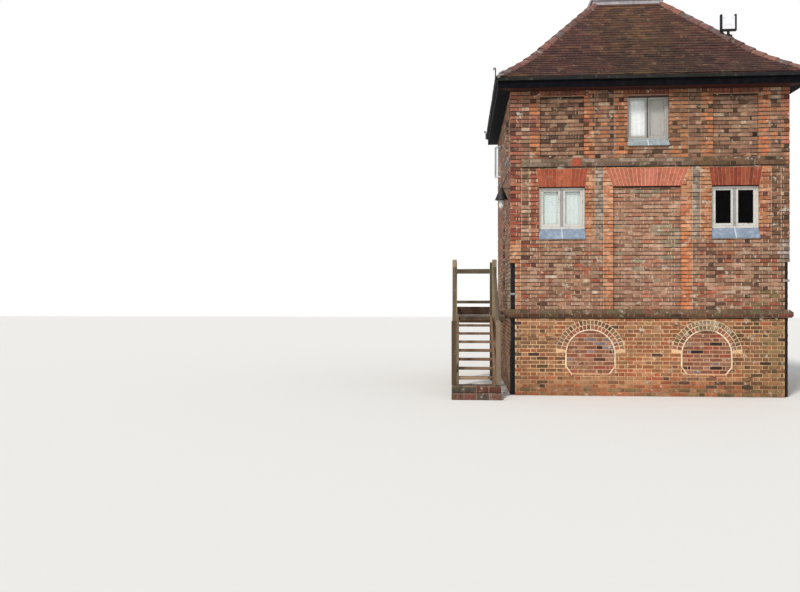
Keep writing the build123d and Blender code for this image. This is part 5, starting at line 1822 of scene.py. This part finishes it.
def joint_group():
    """Where the level joints lie open and dark, partly as mortar fallen out and partly as painted shade, and
    how pale the mortar is at that height.
    """
    tree, f, given, made = new_group(
        "Open And Shaded Joints",
        [("Place", VECTOR, None), ("Wide", VALUE, 0.085)],
        [("Dark", VALUE), ("Upper", VALUE), ("Lower", VALUE)],
    )
    place = given["Place"]
    z = f.part_of(place, "Z")
    lower = f.maths("LESS_THAN", z, PLINTH_UNDER)
    upper = f.maths("GREATER_THAN", z, BAND_Z)
    stretches = (LOW_COURSES, MIDDLE_COURSES, UPPER_COURSES)
    low_rows, rows, high_rows = (f.times(f.minus(z, z0), count / (z1 - z0)) for z0, z1, count in stretches)
    rows = f.plus(f.times(lower, f.minus(low_rows, rows)), rows)
    rows = f.plus(f.times(upper, f.minus(high_rows, rows)), rows)
    nearest = f.maths("ABSOLUTE", f.minus(f.maths("FRACT", f.plus(rows, 0.5)), 0.5))
    level = f.maths("LESS_THAN", nearest, given["Wide"])
    streaks = f.noise(place, 1.0, 3.0, 0.6, (4.5, 4.5, 13.5))
    reach = f.plus(f.times(streaks, 0.7), f.times(f.noise(place, 0.9, 2.0, 0.5), 0.3))
    reach = f.minus(f.plus(reach, f.times(upper, 0.04)), f.times(lower, 0.14))
    f.join(f.times(level, f.between(reach, 0.41, 0.52)), made["Dark"])
    f.join(upper, made["Upper"])
    f.join(lower, made["Lower"])
    return tree


def mortar_finish(name, low_tone):
    """Lime mortar between the bricks: buff and pale low down, grey above, and darkened in patches along the
    bed joints, partly as mortar fallen out and partly as painted shade.
    """
    material, f = new_finish(name, 0.95)
    place = f.place()
    joints = f.group(joints_open_and_shaded, Place=place, Wide=0.09)
    low = f.mixed(f.between(f.part_of(place, "Z"), 0.45, 0.15), rgba(*low_tone), rgba(188, 140, 104))
    low = f.mixed(f.between(f.part_of(place, "X"), 1.7, 2.5, 0.0, 0.7), low, rgba(170, 142, 100))
    base = f.mixed(joints["Upper"], rgba(206, 176, 146), rgba(166, 140, 114))
    sand = f.group(grit, Place=place, Scale=210.0)
    tinted = f.tinted(f.mixed(joints["Lower"], base, low), sand["Tint"])
    worn = f.group(weathering, Color=tinted, Place=place, Soot=0.4, Lime=0.1, Moss=0.3)
    f.feed("Base Color", f.mixed(joints["Dark"], worn["Color"], rgba(54, 36, 30)))
    f.bumped(f.minus(sand["Height"], f.times(joints["Dark"], 1.5)), 0.7, 0.003)
    return material


weathering = weather_group()
grit = grit_group()
joints_open_and_shaded = joint_group()
timber_grain = grain_group()


def clay_finish(
    name, soot, lime, moss, tone=None, scale=160.0, bump=0.5, distance=0.0015, lime_color=PALE_LIME,
    moss_color=DULL_MOSS, coursed=False,
):
    """Brick, tile or mortar. Its tone is its own, or comes brick by brick from the mesh.

    A coursed wall also has open joints with painted shade along its bed joints, and the eaves' painted shade
    on its highest bricks.
    """
    rough = 0.9
    material, f = new_finish(name, rough)
    place = f.place()
    base = f.tone() if tone is None else rgba(*tone)
    own = f.own_grain() if tone is None else place
    sand = f.group(grit, Place=own, Scale=scale)
    cloud = f.between(f.noise(own, 13.0, 3.0, 0.6), 0.35, 0.7, 1.14, 0.74)
    tinted = f.tinted(f.tinted(base, cloud), sand["Tint"])
    if coursed:
        # Painted shade under the eaves, and bricks darkened along the bed joints: partly open joints, partly
        # painted shade
        eaves_shade = f.between(f.part_of(place, "Z"), EAVES_Z - 0.10, EAVES_Z - 0.01, 1.0, 0.52)
        joints = f.group(joints_open_and_shaded, Place=place, Wide=0.125)
        tinted = f.mixed(f.times(joints["Dark"], 0.6), f.tinted(tinted, eaves_shade), rgba(64, 42, 34))
    worn = f.group(
        weathering, Color=tinted, Place=place, Soot=soot, Lime=lime, Moss=moss, Lime_Color=rgba(*lime_color),
        Moss_Color=rgba(*moss_color),
    )
    f.feed("Base Color", worn["Color"])
    f.feed("Roughness", f.between(worn["Mask"], 0.0, 1.0, rough, 0.98))
    f.bumped(sand["Height"], bump, distance)
    return material


def timber_finish(name, checks, soot, moss, tone=None):
    """Bare timber, its grain raised and split. Its tone is its own, or comes board by board from the mesh."""
    rough = 0.85
    material, f = new_finish(name, rough, specular=0.2)
    figure = f.group(timber_grain, Grain=f.own_grain(), Checks=checks)
    base = f.tone() if tone is None else rgba(*tone)
    split = f.mixed(figure["Crack"], f.tinted(base, figure["Tint"]), rgba(34, 28, 24))
    worn = f.group(weathering, Color=split, Place=f.place(), Soot=soot, Lime=0.12, Moss=moss)
    f.feed("Base Color", worn["Color"])
    f.feed("Roughness", f.between(figure["Tint"], 0.7, 1.2, rough - 0.06, rough + 0.06))
    f.bumped(figure["Height"], 0.6, 0.002)
    return material


def paint_finish(name, bare, wear, rough):
    """Brushed paint over timber, in the mesh's tone, flaked along the grain where it has gone."""
    material, f = new_finish(name, rough, specular=0.4)
    figure = f.group(timber_grain, Grain=f.own_grain(), Checks=0.3)
    place = f.place()
    flakes = f.plus(f.times(f.noise(place, 22.0, 4.0, 0.7), 0.6), f.times(figure["Tint"], 0.3))
    gone = f.between(flakes, 0.72 - wear, 0.76 - wear)
    colour = f.mixed(gone, f.tone(), f.tinted(rgba(*bare), figure["Tint"]))
    worn = f.group(weathering, Color=colour, Place=place, Soot=0.35, Lime=0.0, Moss=0.05)
    f.feed("Base Color", worn["Color"])
    f.feed("Roughness", f.between(gone, 0.0, 1.0, rough, 0.85))
    f.bumped(f.minus(f.times(figure["Height"], 0.4), f.times(gone, 0.6)), 0.5, 0.0012)
    return material


def eaves_finish(name, under):
    """Black paint on the boards, and a tone for the faces that look down, which on the front is a painted
    red-brown glow of light thrown up off the brick wall.
    """
    material, f = new_finish(name, 0.8, specular=0.08)
    faces_down = f.between(f.part_of(f.geometry("Normal"), "Z"), -0.4, -0.6)
    cloud = f.noise(f.place(), 9.0, 4.0, 0.6)
    black = f.mixed(f.between(cloud, 0.4, 0.7), rgba(6, 5, 11), rgba(18, 17, 21))
    f.feed("Base Color", f.mixed(faces_down, black, rgba(*under)))
    f.bumped(cloud, 0.3, 0.002)
    return material


def metal_finish(name, eaten, rough, metal=0.0, patch=0.4, tone=None):
    """Old sheet or bar, dull in clouds and eaten in patches. Its tone is its own or the mesh's."""
    material, f = new_finish(name, rough, metal, 0.4)
    place = f.place()
    cloud = f.noise(place, 14.0, 4.0, 0.6)
    fine = f.noise(place, 90.0, 3.0, 0.6)
    base = f.tone() if tone is None else rgba(*tone)
    dull = f.tinted(base, f.between(cloud, 0.3, 0.7, 0.78, 1.18))
    patches = f.times(f.between(f.plus(cloud, f.times(fine, 0.4)), 0.74, 0.86), patch)
    f.feed("Base Color", f.mixed(patches, dull, rgba(*eaten)))
    f.feed("Roughness", f.between(cloud, 0.3, 0.7, rough - 0.12, rough + 0.15))
    f.bumped(f.plus(cloud, f.times(fine, 0.3)), 0.25, 0.0015)
    return material


def glass_finish(name, tone, alpha, rough, shine, grime):
    """Slightly rippled old glass with some dirt on it."""
    material, f = new_finish(name, rough, specular=shine)
    place = f.place()
    dirt = f.between(f.noise(place, 12.0, 5.0, 0.7), 0.45, 0.75, 0.0, grime)
    f.feed("Base Color", f.mixed(dirt, rgba(*tone), rgba(150, 146, 136)))
    f.feed("Alpha", f.plus(dirt, alpha))
    f.bumped(f.noise(place, 7.0, 2.0, 0.5), 0.12, 0.01)
    return material


def cloth_finish(name, tone):
    """Plain woven cloth with faint stains."""
    material, f = new_finish(name, 0.9, specular=0.1)
    place = f.place()
    warp = f.noise(place, 1.0, 2.0, 0.5, (700.0, 700.0, 60.0))
    weft = f.noise(place, 1.0, 2.0, 0.5, (60.0, 60.0, 700.0))
    stain = f.between(f.noise(place, 5.0, 3.0, 0.6), 0.5, 0.75, 0.0, 0.2)
    f.feed("Base Color", f.mixed(stain, rgba(*tone), rgba(196, 188, 170)))
    f.bumped(f.times(warp, weft), 0.08, 0.0006)
    return material


def opal_finish():
    material, f = new_finish("opal_glass", 0.2, specular=0.5)
    cloud = f.between(f.noise(f.place(), 30.0, 3.0, 0.6), 0.4, 0.7, 0.0, 0.3)
    f.feed("Base Color", f.mixed(cloud, rgba(222, 224, 218), rgba(176, 176, 168)))
    return material


brick_clean = clay_finish("brick_face", soot=0.45, lime=0.75, moss=0.25, coursed=True)
brick_weathered = clay_finish("weathered_brick", soot=0.55, lime=0.6, moss=0.6)
brick_rubbed = clay_finish("rubbed_brick", soot=0.15, lime=0.12, moss=0.04, scale=240.0, bump=0.25)
roof_clay = clay_finish(
    "roof_tile_clay", soot=0.45, lime=0.6, moss=0.6, scale=130.0, bump=0.6, lime_color=(146, 118, 96),
    moss_color=(88, 74, 50),
)
hip_clay = clay_finish(
    "hip_tile_clay", soot=0.6, lime=0.8, moss=0.25, scale=130.0, lime_color=(168, 158, 148),
)
wall_mortar = mortar_finish("wall_mortar", (238, 194, 150))
fill_mortar = mortar_finish("fill_mortar", (212, 166, 132))
mortar = clay_finish(
    "grey_mortar", soot=0.45, lime=0.10, moss=0.35, tone=(146, 120, 96), scale=210.0, bump=0.7,
    distance=0.003,
)
bedding = clay_finish("tile_bedding", soot=0.35, lime=0.10, moss=0.10, tone=(28, 30, 30), scale=150.0)
oak = timber_finish("weathered_oak", checks=0.8, soot=0.35, moss=0.25)
floor_wood = timber_finish("floor_boards", checks=0.4, soot=0.2, moss=0.0, tone=(120, 96, 74))
window_paint = paint_finish("window_paint", bare=(150, 134, 116), wear=0.05, rough=0.45)
black_boards = paint_finish("black_boards", bare=(92, 82, 74), wear=0.03, rough=0.55)
eaves_paint = eaves_finish("eaves_paint", (8, 7, 12))
# The front's soffit carries painted light: a dark red-brown glow thrown up onto it from the brick wall
front_eaves_bounce = eaves_finish("front_eaves_bounce", (64, 36, 31))
sheet_lead = metal_finish("sheet_lead", eaten=(166, 178, 190), rough=0.6, patch=0.6)
kerb_lead = metal_finish("kerb_lead", eaten=(206, 204, 204), rough=0.6, patch=0.6, tone=(172, 166, 170))
black_iron = metal_finish("black_iron", eaten=(92, 62, 44), rough=0.5, metal=0.5, patch=0.5)
guard_iron = metal_finish("guard_iron", eaten=(80, 58, 44), rough=0.5, metal=0.4, tone=(22, 21, 24))
panel_white = metal_finish("lamp_panel_white", eaten=(214, 214, 216), rough=0.4, tone=(250, 250, 254))
# Near-black, near-opaque panes: painted shade of the unlit rooms behind them
glass_painted_dark = glass_finish("window_glass_painted_dark", (3, 3, 5), alpha=0.98, rough=0.10, shine=0.04, grime=0.01)
clear_glass = glass_finish(
    "clear_window_glass", (214, 224, 222), alpha=0.08, rough=0.05, shine=0.4, grime=0.10,
)
curtain_cloth = cloth_finish("curtain_cloth", (222, 231, 229))
# Made brighter than the low curtains' cloth: painted light to offset the shade under the eaves
brightened_upper_cloth = cloth_finish("brightened_upper_curtain_cloth", (255, 255, 255))
blind_cloth = cloth_finish("blind_cloth", (182, 174, 165))
lamp_opal = opal_finish()

FINISH_OF = {
    "brick": brick_clean, "weathered_brick": brick_weathered, "rubbed_brick": brick_rubbed, "oak": oak,
    "black_iron": black_iron, "lamp_glass": lamp_opal,
}


# Putting the pieces up

front_bricks()
back_bricks()
side_bricks(1, "right_bricks", False)
side_bricks(3, "left_bricks", True)
panel_bricks()
fill_bricks()
window_arches(0, "front_arch_bricks", "front_window_arches")
window_arches(2, "back_arch_bricks", "back_window_arches")
panel_arch()
arch_rings()
lime_lines()
plinth_bricks()
band_bricks()
all_windows()
curtains()
door()
for side_quarter, side_name in enumerate(SIDES):
    tiled_slope(side_quarter, "tiles_" + side_name)
hips()
tread_boards()
landing_boards()
stair_sides()
landing_rails()
brick_steps()
guard_straps()
lantern()

# Nodes of the solid model that show as they are, under their finishes
CARRIED = (
    (wall_mortar, ("front_wall", "back_wall", "left_wall", "right_wall")),
    (mortar, ("plinth_course", "plat_band")),
    (fill_mortar, ("blind_arch_fills",)),
    (guard_iron, ("corner_guards", "hip_irons", "hip_lamp_bracket")),
    (floor_wood, ("first_floor", "upper_floor")),
    (bedding, ("roof_front", "roof_right", "roof_back", "roof_left")),
    (front_eaves_bounce, ("eaves_front",)),
    (eaves_paint, ("eaves_right", "eaves_back", "eaves_left")),
    (kerb_lead, ("roof_curb", "lead_cap")),
    (panel_white, ("hip_lamp_panel",)),
)
for finish, node_names in CARRIED:
    for node_name in node_names:
        coats = nodes[node_name].data.materials
        coats.clear()
        coats.append(finish)


# Floor, light and camera

SKY_STRENGTH, SUN_STRENGTH = 0.55, 2.3
SUN_WAY = Vector((0.42, 0.72, -0.80))
EYE, TILT, SWING, LENS = (-3.567, -15.801, 1.896), 0.0009, 0.0748, 36.23


def studio():
    """A pale floor, a plain sky that shows white where it is seen, and one soft sun."""
    reach, level = 60, -0.002
    corners = [(x, y, level) for x, y in box_outline(-reach, reach, -reach, reach)]
    material, f = new_finish("pale_floor", 0.9, specular=0.1)
    f.shader.inputs["Base Color"].default_value = rgba(236, 234, 230)
    floor = put_up("floor", new_mesh("floor", corners, [(0, 1, 2, 3)], material))

    world = bpy.data.worlds.new("studio")
    bpy.context.scene.world = world
    world.use_nodes = True
    world.node_tree.nodes.clear()
    sky = Finish(world.node_tree)
    lights, shows = sky.node("ShaderNodeBackground"), sky.node("ShaderNodeBackground")
    lights.inputs["Color"].default_value = (0.92, 0.96, 1.0, 1.0)
    lights.inputs["Strength"].default_value = SKY_STRENGTH
    shows.inputs["Color"].default_value = (1.0, 1.0, 1.0, 1.0)
    path = sky.node("ShaderNodeLightPath").outputs
    seen = sky.maths("MAXIMUM", path["Is Camera Ray"], path["Is Glossy Ray"])
    seen = sky.maths("MAXIMUM", seen, path["Is Transmission Ray"])
    mix = sky.node("ShaderNodeMixShader")
    for source, target in zip((seen, lights.outputs[0], shows.outputs[0]), mix.inputs):
        sky.join(source, target)
    sky.join(mix.outputs[0], sky.node("ShaderNodeOutputWorld").inputs[0])

    sun = bpy.data.lights.new("key", "SUN")
    sun.energy = SUN_STRENGTH
    sun.angle = radians(9)
    sun.color = (1.0, 0.975, 0.94)
    put_up("key", sun).rotation_euler = SUN_WAY.to_track_quat("-Z", "Y").to_euler()


def camera():
    """The photograph's own view, level but for a hair."""
    lens = bpy.data.cameras.new("camera")
    lens.sensor_width = 36.0
    lens.lens = LENS
    lens.clip_end = 500
    placed = put_up("camera", lens)
    placed.location = EYE
    placed.rotation_euler = (pi / 2 + TILT, 0.0, SWING)
    bpy.context.scene.camera = placed


studio()
camera()
bpy.context.scene.view_settings.view_transform = "Standard"
